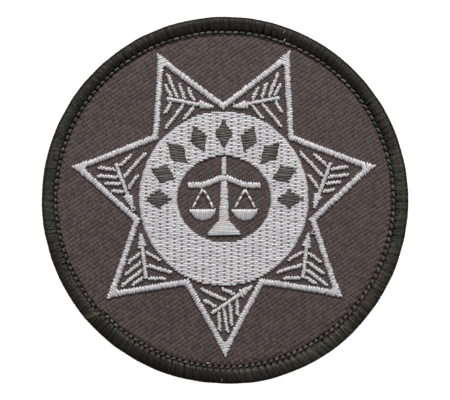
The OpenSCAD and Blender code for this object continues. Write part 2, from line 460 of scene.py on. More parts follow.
@dataclass(frozen=True)
class Stitching:
    """Measures of one kind of straight stitch.

    Attributes:
        pitch: Distance from one stitch to the next.
        width: Width of the thread.
        depth: Depth of the pressed thread.
        shoulder: Length over which a stitch comes up out of the cloth.
        root: How far its ends go under the surface that it is sewn on.
        waver: How far a needle hole strays from its place.
        bow: How far the middle of a stitch strays to one side.
        lift: How far the height of a stitch strays.
        tilt: How far a stitch is turned about its own length, in radians.
        sink: How far the stitches keep below the CAD node's top, which is their highest place.
        droop: How much lower a stitch lies at its end with the lower y.
        rim: Strength of the painted highlight at a stitch's end with the higher y, which faces the lamp,
            against the rest of it.
        tone: Brightness of the stitches.
        tone_spread: How far the brightness of a stitch strays.
        bent: Share of a stitch's rings that lie on its two shoulders.
        full_height: Half of a stitch's length against its shoulder, below which it stays lower.
    """

    pitch: float = 0.27 * MM
    width: float = 0.44 * MM
    depth: float = 0.25 * MM
    shoulder: float = 0.42 * MM
    root: float = 0.08 * MM
    waver: float = 0.05 * MM
    bow: float = 0.02 * MM
    lift: float = 0.025 * MM
    tilt: float = 0.25
    sink: float = 0.19 * MM
    droop: float = 0.0
    # Painted highlight on the ends that face the lamp.
    rim: float = 1.10
    tone: float = 1.0
    tone_spread: float = 0.10
    bent: float = 0.6
    full_height: float = 0.6

    def lay(
        self,
        layer: ThreadLayer,
        starts: np.ndarray,
        ends: np.ndarray,
        floor: float,
        top: float,
        dim: float | np.ndarray = 1.0,
    ) -> None:
        """Lay straight stitches between two rows of needle holes.

        Args:
            layer: Layer that takes them.
            starts: Rows of x and y where the stitches begin.
            ends: Rows of x and y where they end.
            floor: Level of the surface that they are sewn on.
            top: Highest level of the threads.
            dim: Brightness, one for all or one for each.
        """
        count = len(starts)
        chance = layer.chance
        run = ends - starts
        half = np.linalg.norm(run, axis=1) / 2
        way = unit_rows(run)
        middle = (starts + ends) / 2
        inward = 1.0 - np.abs(layer.stations)
        bend = np.clip(inward / self.bent, 0.0, 1.0) * math.pi / 2
        level = np.clip((inward - self.bent) / (1.0 - self.bent), 0.0, 1.0)
        lead = np.minimum(self.shoulder, half * 0.9)[:, None]
        reach = (half[:, None] - lead) * (1.0 - level) + lead * np.cos(bend)
        reach = reach * np.sign(layer.stations)
        crest = top - self.sink - self.depth / 2 - floor + chance.normal(0.0, self.lift, count)
        short = np.clip(half / (self.full_height * self.shoulder), 0.5, 1.0)
        upper = np.sign(run[:, 1])[:, None] * reach / np.maximum(half, 1e-9)[:, None]
        crests = (crest * short)[:, None] - self.droop * (1.0 - upper) / 2
        heights = floor - self.root + (crests + self.root) * np.sin(bend)
        side = np.stack([-way[:, 1], way[:, 0]], axis=1)
        bow = chance.normal(0.0, self.bow, count)[:, None] * (1.0 - layer.stations**2)
        centres = np.empty((count, len(layer.stations), 3))
        centres[..., :2] = middle[:, None, :] + way[:, None, :] * reach[..., None]
        centres[..., :2] += side[:, None, :] * bow[..., None]
        centres[..., 2] = heights
        across = np.column_stack([side, np.zeros(count)])
        # Painted highlight: an upright stitch is brighter towards its end with the higher y, which faces the
        # lamp.
        steep = np.abs(way[:, 1])[:, None]
        painted_highlight_start, painted_highlight_length = 0.3, 0.6
        painted_highlight = 1.0 + (self.rim - 1.0) * steep * np.clip((upper - painted_highlight_start) / painted_highlight_length, 0.0, 1.0)
        tones = (layer.tones(count, self.tone_spread) * self.tone * dim)[:, None] * painted_highlight
        layer.sweep(centres, across, self.width, self.depth, tones, chance.normal(0.0, self.tilt, count))

    def run(self, layer: ThreadLayer, holes: np.ndarray, floor: float, top: float) -> None:
        """Sew one thread through a row of needle holes in turn.

        Args:
            layer: Layer that takes the stitches.
            holes: Rows of x and y in sewing order.
            floor: Level of the surface that they are sewn on.
            top: Highest level of the threads.
        """
        holes = holes + layer.chance.normal(0.0, self.waver, holes.shape)
        self.lay(layer, holes[:-1], holes[1:], floor, top)

    def fill(self, layer: ThreadLayer, plan: Plan, angle: float, floor: float) -> None:
        """Fill an outline with satin that runs to and fro from edge to edge.

        Args:
            layer: Layer that takes the stitches.
            plan: The outline.
            angle: Direction of the stitches, in radians.
            floor: Level of the surface that they are sewn on.
        """
        low, high = plan.reach(angle + math.pi / 2)
        margin = 0.02 * self.width
        rows = max(2, round((high - low - 2 * margin) / self.pitch))
        along, left = unit_vector(angle), unit_vector(angle + math.pi / 2)
        holes = []
        for row, offset in enumerate(np.linspace(low + margin, high - margin, rows + 1)):
            spans = plan.spans(angle, offset)
            if spans:
                holes.append(along * (spans[-1][1] if row % 2 else spans[0][0]) + left * offset)
        self.run(layer, np.array(holes), floor, plan.high)


# Finishes


class Graph:
    """A node tree with short ways to add and join its nodes."""

    def __init__(self, tree: bpy.types.NodeTree) -> None:
        """Wrap a node tree.

        Args:
            tree: The tree that nodes are added to.
        """
        self.tree = tree

    def feed(self, node: bpy.types.Node, values: dict) -> bpy.types.Node:
        """Fill a node's inputs.

        Args:
            node: The node.
            values: Input name or number, and the value or the output socket that feeds it.

        Returns:
            The node.
        """
        for name, value in values.items():
            if isinstance(value, bpy.types.NodeSocket):
                self.tree.links.new(value, node.inputs[name])
            else:
                node.inputs[name].default_value = value
        return node

    def add(self, kind: str, values: dict | None = None, **settings: object) -> bpy.types.Node:
        """Add a node and fill its inputs.

        Args:
            kind: Blender's name of the node type.
            values: Input name or number, and the value or the output socket that feeds it.
            **settings: Properties of the node.

        Returns:
            The node.
        """
        node = self.tree.nodes.new(kind)
        for name, value in settings.items():
            setattr(node, name, value)
        return self.feed(node, values or {})

    def maths(self, operation: str, *values: object) -> bpy.types.NodeSocket:
        """Add a Math node and give its output."""
        return self.add("ShaderNodeMath", dict(enumerate(values)), operation=operation).outputs[0]

    def cosine(self, waves: bpy.types.NodeSocket) -> bpy.types.NodeSocket:
        """Give the cosine of a number of whole waves."""
        return self.maths("COSINE", self.maths("MULTIPLY", waves, FULL_TURN))

    def noise(self, place: object, scale: object, detail: float) -> bpy.types.NodeSocket:
        """Add a noise and give its value."""
        values = {"Vector": place, "Scale": scale, "Detail": detail}
        return self.add("ShaderNodeTexNoise", values).outputs["Fac"]

    def ranged(
        self, value: object, low: float, high: float, to_low: float, to_high: float
    ) -> bpy.types.NodeSocket:
        """Map a value from one range to another, held at its ends."""
        sockets = {"Value": value, "From Min": low, "From Max": high, "To Min": to_low, "To Max": to_high}
        return self.add("ShaderNodeMapRange", sockets, clamp=True).outputs["Result"]

    def mixed(self, share: object, first: tuple, second: tuple) -> bpy.types.NodeSocket:
        """Mix two colours by a share."""
        node = self.add("ShaderNodeMix", data_type="RGBA")
        self.feed(node, {0: share, 6: (*first, 1.0), 7: (*second, 1.0)})
        return node.outputs[2]

    def shaded(self, colour: bpy.types.NodeSocket, shade: bpy.types.NodeSocket) -> bpy.types.NodeSocket:
        """Multiply a colour by a brightness."""
        node = self.add("ShaderNodeVectorMath", {0: colour}, operation="SCALE")
        return self.feed(node, {"Scale": shade}).outputs[0]


class EffectGroup:
    """A shader node group with named inputs and outputs, built once and shared."""

    name = ""
    inputs: dict[str, tuple[str, object]] = {}
    outputs: tuple[str, ...] = ()

    @classmethod
    def tree(cls) -> bpy.types.NodeTree:
        """Give the group's tree, built at its first use."""
        tree = bpy.data.node_groups.get(cls.name)
        if tree is None:
            tree = bpy.data.node_groups.new(cls.name, "ShaderNodeTree")
            for name, (kind, value) in cls.inputs.items():
                socket = tree.interface.new_socket(name, in_out="INPUT", socket_type=kind)
                if value is not None:
                    socket.default_value = value
            for name in cls.outputs:
                tree.interface.new_socket(name, in_out="OUTPUT", socket_type="NodeSocketFloat")
            graph = Graph(tree)
            entry = graph.add("NodeGroupInput")
            graph.add("NodeGroupOutput", cls.wired(graph, entry.outputs))
        return tree

    @classmethod
    def wired(cls, graph: Graph, given: bpy.types.NodeOutputs) -> dict:
        """Build the group's nodes.

        Args:
            graph: The group's graph.
            given: The group's inputs, by name.

        Returns:
            The socket that feeds each of the group's outputs, by name.
        """
        raise NotImplementedError

    @classmethod
    def placed(cls, graph: Graph, values: dict) -> bpy.types.NodeOutputs:
        """Place the group in a material.

        Args:
            graph: The material's graph.
            values: Its inputs.

        Returns:
            Its outputs.
        """
        node = graph.tree.nodes.new("ShaderNodeGroup")
        node.node_tree = cls.tree()
        return graph.feed(node, values).outputs


class ThreadTwist(EffectGroup):
    """Plies and fine filaments that wind round a thread, with painted shade in the grooves between them."""

    name = "Thread twist"
    inputs = {
        "Place": ("NodeSocketVector", None),
        "Plies": ("NodeSocketFloat", 2.0),
        "Turns": ("NodeSocketFloat", 0.9),
        "Filaments": ("NodeSocketFloat", 9.0),
    }
    outputs = ("Height", "Shade")
    ply_share, filament_share = 0.35, 0.15
    darkest, brightest = 0.88, 1.06

    @classmethod
    def wired(cls, graph: Graph, given: bpy.types.NodeOutputs) -> dict:
        """Wind a broad wave for the plies and a fine one for the filaments round the thread's own map."""
        place = graph.add("ShaderNodeSeparateXYZ", {0: given["Place"]}).outputs
        wound = graph.maths("ADD", place["Y"], graph.maths("MULTIPLY", place["X"], given["Turns"]))
        waves = []
        for count, share in ((given["Plies"], cls.ply_share), (given["Filaments"], cls.filament_share)):
            wave = graph.cosine(graph.maths("MULTIPLY", wound, count))
            waves.append(graph.maths("MULTIPLY", wave, share))
        height = graph.maths("ADD", *waves)
        # Painted shade: darker in the grooves, brighter on the crests.
        shade = graph.ranged(height, -0.5, 0.5, cls.darkest, cls.brightest)
        return {"Height": graph.maths("ADD", height, 0.5), "Shade": shade}


class DyeMottle(EffectGroup):
    """Uneven dye and fine soil over a surface."""

    name = "Dye mottle"
    inputs = {
        "Place": ("NodeSocketVector", None),
        "Patches": ("NodeSocketFloat", 420.0),
        "Amount": ("NodeSocketFloat", 0.08),
    }
    outputs = ("Shade", "Tint", "Fine")
    finer, fine_share = 6.0, 0.6
    tint_away = (0.3, 0.1, 0.0)
    tint_from, tint_to = 0.36, 0.64

    @classmethod
    def wired(cls, graph: Graph, given: bpy.types.NodeOutputs) -> dict:
        """Mix a broad and a fine noise around 1, and take a second broad one for the tint."""
        place, patches = given["Place"], given["Patches"]
        broad = graph.noise(place, patches, 3.0)
        fine = graph.noise(place, graph.maths("MULTIPLY", patches, cls.finer), 2.0)
        both = graph.maths("ADD", broad, graph.maths("MULTIPLY", fine, cls.fine_share))
        average = (1.0 + cls.fine_share) / 2
        centred = graph.maths("MULTIPLY", graph.maths("SUBTRACT", both, average), 4.0)
        shade = graph.maths("ADD", graph.maths("MULTIPLY", centred, given["Amount"]), 1.0)
        moved = graph.add("ShaderNodeVectorMath", {0: place, 1: cls.tint_away}, operation="ADD").outputs[0]
        tint = graph.ranged(graph.noise(moved, patches, 2.0), cls.tint_from, cls.tint_to, 0.0, 1.0)
        return {"Shade": shade, "Tint": tint, "Fine": fine}


class PlaneWave(EffectGroup):
    """Straight even wave over the patch, such as one set of lines in a weave."""

    name = "Plane wave"
    inputs = {
        "Place": ("NodeSocketVector", None),
        "Pitch": ("NodeSocketFloat", 0.8 * MM),
        "Angle": ("NodeSocketFloat", 0.0),
    }
    outputs = ("Wave",)

    @classmethod
    def wired(cls, graph: Graph, given: bpy.types.NodeOutputs) -> dict:
        """Count the waves along their direction and take the cosine."""
        place = graph.add("ShaderNodeSeparateXYZ", {0: given["Place"]}).outputs
        along = graph.maths("MULTIPLY", place["X"], graph.maths("COSINE", given["Angle"]))
        across = graph.maths("MULTIPLY", place["Y"], graph.maths("SINE", given["Angle"]))
        waves = graph.maths("DIVIDE", graph.maths("ADD", along, across), given["Pitch"])
        return {"Wave": graph.cosine(waves)}


class TwillLines(EffectGroup):
    """Diagonal lines and single threads of a twill weave, for cloth whose threads are too small to model,
    with painted shade in their grooves.
    """

    name = "Twill lines"
    inputs = {
        "Place": ("NodeSocketVector", None),
        "Line pitch": ("NodeSocketFloat", 0.807 * MM),
        "Line angle": ("NodeSocketFloat", math.radians(-56.7)),
        "Thread pitch": ("NodeSocketFloat", 0.433 * MM),
        "Thread angle": ("NodeSocketFloat", math.radians(29.1)),
    }
    outputs = ("Height", "Shade")
    shares = {"Line": 0.3, "Thread": 0.2}
    darkest, brightest = 0.72, 1.12

    @classmethod
    def wired(cls, graph: Graph, given: bpy.types.NodeOutputs) -> dict:
        """Cross the wave of the diagonal lines with that of the threads in them."""
        waves = []
        for name, share in cls.shares.items():
            pitch, angle = given[f"{name} pitch"], given[f"{name} angle"]
            values = {"Place": given["Place"], "Pitch": pitch, "Angle": angle}
            waves.append(graph.maths("MULTIPLY", PlaneWave.placed(graph, values)["Wave"], share))
        height = graph.maths("ADD", *waves)
        # Painted shade: darker in the weave's grooves, brighter on its ridges.
        shade = graph.ranged(height, -0.5, 0.5, cls.darkest, cls.brightest)
        return {"Height": graph.maths("ADD", height, 0.5), "Shade": shade}


@dataclass(frozen=True)
class Finish:
    """What all finishes of the patch share.

    Attributes:
        name: Name of the material.
        colour: Linear red, green and blue.
        tint: Second colour that comes through in patches.
        roughness: How matt it is.
        specular: Strength of its highlights.
        sheen: Strength of the soft light at its edges.
        mottle: How uneven the dye is.
        relief: Depth of the pattern in the surface.
        dulling: How much more matt its dark threads are, and how much glossier its bright ones.
        glossiest: How much glossier than usual its glossiest specks are.
        dullest: How much more matt than usual its dullest specks are.
    """

    name: str
    colour: tuple[float, float, float]
    tint: tuple[float, float, float]
    roughness: float = 0.4
    specular: float = 0.5
    sheen: float = 0.1
    mottle: float = 0.05
    relief: float = 0.015 * MM
    dulling: float = 0.0
    glossiest: float = 0.05
    dullest: float = 0.07

    def material(self) -> bpy.types.Material:
        """Build the material, or give it back if it is there."""
        found = bpy.data.materials.get(self.name)
        if found is not None:
            return found
        material = bpy.data.materials.new(self.name)
        material.use_nodes = True
        material.node_tree.nodes.clear()
        graph = Graph(material.node_tree)
        place = graph.add("ShaderNodeTexCoord").outputs["Object"]
        mottle = DyeMottle.placed(graph, {"Place": place, "Amount": self.mottle})
        height, shade = self.pattern(graph, place)
        colour = graph.mixed(mottle["Tint"], self.colour, self.tint)
        bump = graph.add("ShaderNodeBump", {"Height": height, "Strength": 1.0, "Distance": self.relief})
        glossy, matt = self.roughness - self.glossiest, self.roughness + self.dullest
        rough = graph.ranged(mottle["Fine"], 0.3, 0.7, glossy, matt)
        dull = graph.ranged(shade, 0.6, 1.4, self.dulling, -self.dulling)
        values = {
            "Base Color": graph.shaded(colour, graph.maths("MULTIPLY", shade, mottle["Shade"])),
            "Roughness": graph.maths("ADD", rough, dull),
            "Normal": bump.outputs["Normal"],
            "Sheen Weight": self.sheen,
            "Sheen Roughness": 0.4,
            "Specular IOR Level": self.specular,
        }
        surface = graph.add("ShaderNodeBsdfPrincipled", values)
        graph.add("ShaderNodeOutputMaterial", {"Surface": surface.outputs["BSDF"]})
        return material

    def pattern(self, graph: Graph, place: bpy.types.NodeSocket) -> tuple[bpy.types.NodeSocket, ...]:
        """Build the finish's own pattern.

        Args:
            graph: The material's graph.
            place: Object coordinates.

        Returns:
            The pattern's height and brightness.
        """
        raise NotImplementedError


@dataclass(frozen=True)
class ThreadFinish(Finish):
    """Dyed thread, twisted from plies.

    Attributes:
        plies: How many plies it has.
        turns: How often they wind round it in a millimetre.
    """

    plies: float = 2.0
    turns: float = 0.55

    def pattern(self, graph: Graph, place: bpy.types.NodeSocket) -> tuple[bpy.types.NodeSocket, ...]:
        """Twist the plies along the thread's own map and take over its tone, which holds painted highlights
        and shade in places.
        """
        thread_map = graph.add("ShaderNodeUVMap", uv_map=THREAD_MAP).outputs["UV"]
        tone = graph.add("ShaderNodeAttribute", attribute_name=TONE).outputs["Fac"]
        twist = ThreadTwist.placed(graph, {"Place": thread_map, "Plies": self.plies, "Turns": self.turns})
        return twist["Height"], graph.maths("MULTIPLY", tone, twist["Shade"])


@dataclass(frozen=True)
class ClothFinish(Finish):
    """Woven cloth whose threads are drawn by its material."""

    def pattern(self, graph: Graph, place: bpy.types.NodeSocket) -> tuple[bpy.types.NodeSocket, ...]:
        """Draw the twill's lines and take over the painted shade of the pressed pits."""
        twill = TwillLines.placed(graph, {"Place": place})
        tone = graph.add("ShaderNodeAttribute", attribute_name=TONE).outputs["Fac"]
        return twill["Height"], graph.maths("MULTIPLY", tone, twill["Shade"])


SILVER = ThreadFinish(
    "silver embroidery thread",
    colour=(0.45, 0.435, 0.46),
    tint=(0.455, 0.44, 0.44),
    roughness=0.30,
    specular=1.0,
    relief=0.035 * MM,
)
DARK = ThreadFinish(
    "dark embroidery thread",
    colour=(0.050, 0.041, 0.034),
    tint=(0.046, 0.042, 0.034),
    roughness=0.38,
)
EDGE = ThreadFinish(
    "black-green edge thread",
    colour=(0.0080, 0.0078, 0.0054),
    tint=(0.0105, 0.0082, 0.0056),
    roughness=0.38,
    specular=0.21,
    sheen=0.0,
    relief=0.012 * MM,
    dulling=0.08,
    turns=0.10,
)
NEEDLE = ThreadFinish(
    "grey needle thread",
    colour=(0.078, 0.073, 0.065),
    tint=(0.070, 0.062, 0.056),
    roughness=0.5,
    specular=0.22,
    mottle=0.15,
)
TWILL_YARN = ThreadFinish(
    "twill warp yarn",
    colour=(0.0590, 0.0375, 0.0350),
    tint=(0.053, 0.038, 0.0325),
    roughness=0.65,
    relief=0.01 * MM,
)
TWILL_CLOTH = ClothFinish(
    "twill cloth",
    colour=(0.055, 0.037, 0.034),
    tint=(0.048, 0.036, 0.031),
    roughness=0.75,
    specular=0.3,
    relief=0.03 * MM,
)


def dress(piece: bpy.types.Object, finish: Finish, slot: Slot, *nodes: str) -> bpy.types.Object:
    """Give a piece its finish and hand it to the frame.

    Args:
        piece: The finished mesh object.
        finish: Its finish.
        slot: The record's slot that the finish belongs to. It is not used.
        *nodes: CAD nodes that it replaces.

    Returns:
        The piece.
    """
    piece.data.materials.clear()
    piece.data.materials.append(finish.material())
    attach(piece, "root")
    if nodes:
        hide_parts(*nodes)
    piece.data.calc_loop_triangles()
    LOG.info("%s: %d triangles", piece.name, len(piece.data.loop_triangles))
    return piece


# Sub-assemblies


@dataclass(frozen=True)
class HoleLine:
    """Needle holes just inside the wound edge, which its stitches share.

    Attributes:
        count: Number of holes.
        widest: Angle from +X, anticlockwise, where the holes lie farthest apart.
        join: Angle from +X, anticlockwise, where the line ends and begins.
        bunching: How far the holes move towards or away from each other, in radians.
        stray: How far a hole strays along the line, in radians.
        course: Distance of the line from the patch's middle, in mm.
        torn: How wide open the holes are, up to 1.
        inward: How far inside the line the holes lie where they are closed.
        seed: Seed of the holes' small differences.
    """

    count: int = 164
    widest: float = math.radians(70)
    join: float = math.radians(222.5)
    bunching: float = 0.046
    stray: float = 0.0022
    course: EdgeTable = (
        (0.0, 34.86), (30.0, 34.93), (60.0, 34.97), (90.0, 35.05), (115.0, 35.07), (140.0, 34.95),
        (160.0, 34.80), (180.0, 34.70), (200.0, 34.57), (215.0, 34.49), (227.0, 34.43), (228.0, 34.99),
        (250.0, 35.05), (270.0, 35.24), (300.0, 35.30), (320.0, 35.26), (335.0, 35.14), (350.0, 34.93),
        (360.0, 34.86),
    )
    torn: EdgeTable = (
        (0.0, 0.1), (80.0, 0.15), (140.0, 0.35), (160.0, 0.9), (224.0, 1.0), (232.0, 0.6), (290.0, 0.3),
        (360.0, 0.1),
    )
    inward: float = 0.33 * MM
    seed: int = 5

    def bearings(self) -> np.ndarray:
        """Give the holes' angles from +X, anticlockwise."""
        chance = np.random.default_rng(self.seed)
        even = (np.arange(self.count) + 0.5) / self.count * 2 * math.pi
        return even + self.bunching * np.sin(even - self.widest) + chance.normal(0.0, self.stray, self.count)

    def line(self, bearing: np.ndarray) -> np.ndarray:
        """Give the distance of the needle line from the patch's middle.

        Args:
            bearing: Angles from +X, anticlockwise.

        Returns:
            One distance for each angle.
        """
        return along_edge(bearing, self.course) * MM

    def distance(self, bearing: np.ndarray) -> np.ndarray:
        """Give the distance of the holes from the patch's middle, on the line where they are wide open.

        Args:
            bearing: Angles from +X, anticlockwise.

        Returns:
            One distance for each angle.
        """
        return self.line(bearing) - self.inward * (1.0 - along_edge(bearing, self.torn))

    def places(self) -> np.ndarray:
        """Give the holes as rows of x and y."""
        bearing = self.bearings()
        return on_circle(self.distance(bearing), bearing)


@dataclass
class GroundCloth:
    """Twill disc: a plain cloth body with its warp floats laid on top.

    Attributes:
        holes: The needle holes that are pressed into the cloth.
        float_length: Length of a float.
        float_width: Width of a float, which laps over the next ones.
        float_depth: Depth of a float.
        float_dip: How far a float goes down at its ends.
        float_ends: Share of its width that a float keeps at its ends.
        float_flat: Share of a float's length that stays level.
        float_angle: Direction of the floats, from +X, anticlockwise.
        row_pitch: Distance from one row of floats to the next.
        step: How far each row is set off from the one before.
        repeat: Distance from one float to the next in a row.
        turned: Turn of the whole weave, in radians.
        waver: How far a float strays from its place.
        length_spread: How far a float's length strays, as a share.
        lift: How far a float's height strays.
        tilt: How far a float is turned about its own length, in radians.
        tone_spread: How far the brightness of a float strays.
        sunk: How far the cloth's body lies under the floats' tops.
        hem: How far inside the needle line the floats end.
        under_ring: How far under the ring the floats go on.
        clear: How far from a needle hole the floats keep.
        pit_depth: Depth of the pit at a needle hole.
        pit_length: Half the pit's length along the needle line.
        pit_width: Half the pit's width.
        pit_closed: Depth of a closed hole's pit, as a share of an open one's.
        pit_shadow: Strength of the painted shadow at the bottom of a pit, as a share.
        pit_edge: How steeply that painted shadow deepens towards the bottom of a pit.
        band_outside: Outer radius of the band with finer faces in which the pits lie.
        band_step: Distance between the edges of that band.
        band_rings: Number of its edges.
        band_reach: Inner and outer radius of what the pits press down.
    """

    holes: HoleLine
    float_length: float = 0.95 * MM
    float_width: float = 0.86 * MM
    float_depth: float = 0.085 * MM
    float_dip: float = 0.020 * MM
    float_ends: float = 0.80
    float_flat: float = 0.6
    float_angle: float = math.radians(-61.0)
    row_pitch: float = 0.2364 * MM
    step: float = 0.3642 * MM
    repeat: float = 1.4827 * MM
    turned: float = math.radians(0.28)
    waver: float = 0.011 * MM
    length_spread: float = 0.04
    lift: float = 0.003 * MM
    tilt: float = 0.028
    tone_spread: float = 0.06
    sunk: float = 0.08 * MM
    hem: float = 0.42 * MM
    under_ring: float = 0.6 * MM
    clear: float = 0.26 * MM
    pit_depth: float = 0.80 * MM
    pit_length: float = 0.24 * MM
    pit_width: float = 0.26 * MM
    pit_closed: float = 0.4
    pit_shadow: float = 0.9
    pit_edge: float = 1.8
    band_outside: float = 35.45 * MM
    band_step: float = 0.13 * MM
    band_rings: int = 13
    band_reach: tuple[float, float] = (33.5 * MM, 35.5 * MM)

    def __post_init__(self) -> None:
        """Read the cloth's size from its CAD node."""
        low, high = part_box("ground_cloth")
        self.radius = float(high.x - low.x) / 2
        self.low, self.high = float(low.z), float(high.z)

    def cloth(self) -> bpy.types.Object:
        """Model the body of the cloth as a disc with a pit at every needle hole."""
        top = self.high - self.sunk
        deselect_all()
        bpy.ops.mesh.primitive_cylinder_add(
            vertices=self.holes.count * 8,
            radius=self.radius,
            depth=top - self.low,
            location=(0.0, 0.0, (top + self.low) / 2),
        )
        obj = bpy.context.active_object
        obj.name = obj.data.name = "twill_cloth"
        bpy.ops.object.transform_apply(location=True, rotation=False, scale=False)
        bpy.context.tool_settings.mesh_select_mode = (False, False, True)
        deselect_mesh()
        for face in obj.data.polygons:
            face.select = face.normal.z > 0.9
        bpy.ops.object.mode_set(mode="EDIT")
        bpy.ops.mesh.inset(thickness=self.radius - self.band_outside)
        for _ in range(self.band_rings):
            bpy.ops.mesh.inset(thickness=self.band_step)
        bpy.ops.object.mode_set(mode="OBJECT")
        self.press_pits(obj.data, top)
        bpy.ops.object.shade_smooth_by_angle(angle=math.radians(50))
        return obj

    def press_pits(self, mesh: bpy.types.Mesh, top: float) -> None:
        """Press the cloth's face down around each needle hole, and paint shade into each pit.

        Args:
            mesh: The cloth's mesh.
            top: Level of its face.
        """
        points = np.array([vertex.co for vertex in mesh.vertices])
        radius = np.hypot(points[:, 0], points[:, 1])
        inside, outside = self.band_reach
        near = np.flatnonzero((points[:, 2] > top - SAME_PLACE) & (radius > inside) & (radius < outside))
        bearing = np.arctan2(points[near, 1], points[near, 0])
        gaps = half_turned(bearing[:, None] - self.holes.bearings()[None, :])
        tangent = (gaps * radius[near, None])[np.arange(len(near)), np.abs(gaps).argmin(axis=1)]
        out = radius[near] - self.holes.distance(bearing)
        opened = self.pit_closed + (1.0 - self.pit_closed) * along_edge(bearing, self.holes.torn)
        dent = np.exp(-((tangent / self.pit_length) ** 2) - (out / self.pit_width) ** 2) * opened
        for vertex, share in zip(near, dent):
            mesh.vertices[int(vertex)].co.z = top - self.pit_depth * share
        # Painted shadow: the cloth's tone is darker towards the bottom of each pit.
        tones = np.ones(len(mesh.vertices), dtype=np.float32)
        tones[near] = 1.0 - self.pit_shadow * np.clip(self.pit_edge * dent, 0.0, 1.0)
        mesh.attributes.new(TONE, "FLOAT", "POINT").data.foreach_set("value", tones)

    def floats(self, hidden: Plan) -> list[bpy.types.Object]:
        """Lay the warp floats of the twill wherever they can be seen.

        Args:
            hidden: Plan of the ring, under which none are laid.

        Returns:
            The joined floats of the left and of the right half.
        """
        form = ThreadForm.modelled(sides=4, rings=4, end_width=self.float_ends, turned=math.pi / 4)
        reach = int(self.radius / self.row_pitch) + 2
        rows = np.arange(-reach, reach + 1)
        spare = 40
        columns_reach = int(self.radius / self.repeat) * 2 + spare
        columns = np.arange(-columns_reach, columns_reach + 1)
        row, column = (a.reshape(-1) for a in np.meshgrid(rows, columns))
        flat = np.stack([column * self.repeat + row * self.step, row * self.row_pitch], axis=1)
        places = flat @ np.array([unit_vector(self.turned), unit_vector(self.turned + math.pi / 2)])
        along = unit_vector(self.float_angle)
        radius = np.hypot(places[:, 0], places[:, 1])
        bearing = np.arctan2(places[:, 1], places[:, 0])
        half_seen = np.abs(places @ along) / np.maximum(radius, 1e-9) * self.float_length / 2
        places = places[radius + half_seen < self.holes.line(bearing) - self.hem]
        places = places[~hidden.holds(places, margin=self.under_ring) & ~self.crosses_pit(places, along)]
        left = places[:, 0] < 0
        return [
            self.half_of_floats(name, form, seed, places[half], along)
            for name, seed, half in (("twill_floats_left", 3, left), ("twill_floats_right", 4, ~left))
        ]

    def half_of_floats(
        self, name: str, form: ThreadForm, seed: int, places: np.ndarray, along: np.ndarray
    ) -> bpy.types.Object:
        """Sweep and join the floats of one half of the cloth.

        Args:
            name: Name of the piece.
            form: Form of one float.
            seed: Seed of their small differences.
            places: Middles of the floats, as rows of x and y.
            along: Their direction.

        Returns:
            The joined floats.
        """
        layer = ThreadLayer(name, form, seed)
        count = len(places)
        places = places + layer.chance.normal(0.0, self.waver, (count, 2))
        half = self.float_length / 2 * layer.chance.normal(1.0, self.length_spread, count)
        stations = np.array([-1.0, -self.float_flat, self.float_flat, 1.0])
        crest = self.high - self.float_depth / 2 + layer.chance.normal(0.0, self.lift, count)
        centres = np.empty((count, len(stations), 3))
        centres[..., :2] = places[:, None, :] + along * (half[:, None] * stations)[..., None]
        centres[..., 2] = crest[:, None] - (np.abs(stations) == 1.0) * self.float_dip
        across = np.tile([-along[1], along[0], 0.0], (count, 1))
        tilt = layer.chance.normal(0.0, self.tilt, count)
        tones = layer.tones(count, self.tone_spread)
        layer.sweep(centres, across, self.float_width, self.float_depth, tones, tilt)
        return layer.built()

    def crosses_pit(self, places: np.ndarray, along: np.ndarray) -> np.ndarray:
        """Tell which floats would lie over a needle hole.

        Args:
            places: Middles of the floats, as rows of x and y.
            along: Their direction.

        Returns:
            One truth value for each float.
        """
        crosses = np.zeros(len(places), dtype=bool)
        nearest = self.band_reach[0] - self.float_length / 2
        rim = np.flatnonzero(np.hypot(places[:, 0], places[:, 1]) > nearest)
        for share in (-0.9, -0.45, 0.0, 0.45, 0.9):
            points = places[rim] + along * (share * self.float_length / 2)
            gaps = np.linalg.norm(points[:, None, :] - self.holes.places()[None, :, :], axis=2)
            crosses[rim] |= gaps.min(axis=1) < self.clear
        return crosses

    def build(self, hidden: Plan) -> None:
        """Build and dress the cloth and its floats.

        Args:
            hidden: Plan of the ring, under which no floats are laid.
        """
        cloth = dress(self.cloth(), TWILL_CLOTH, Slot.TWILL, "ground_cloth")
        floats = [dress(half, TWILL_YARN, Slot.TWILL) for half in self.floats(hidden)]


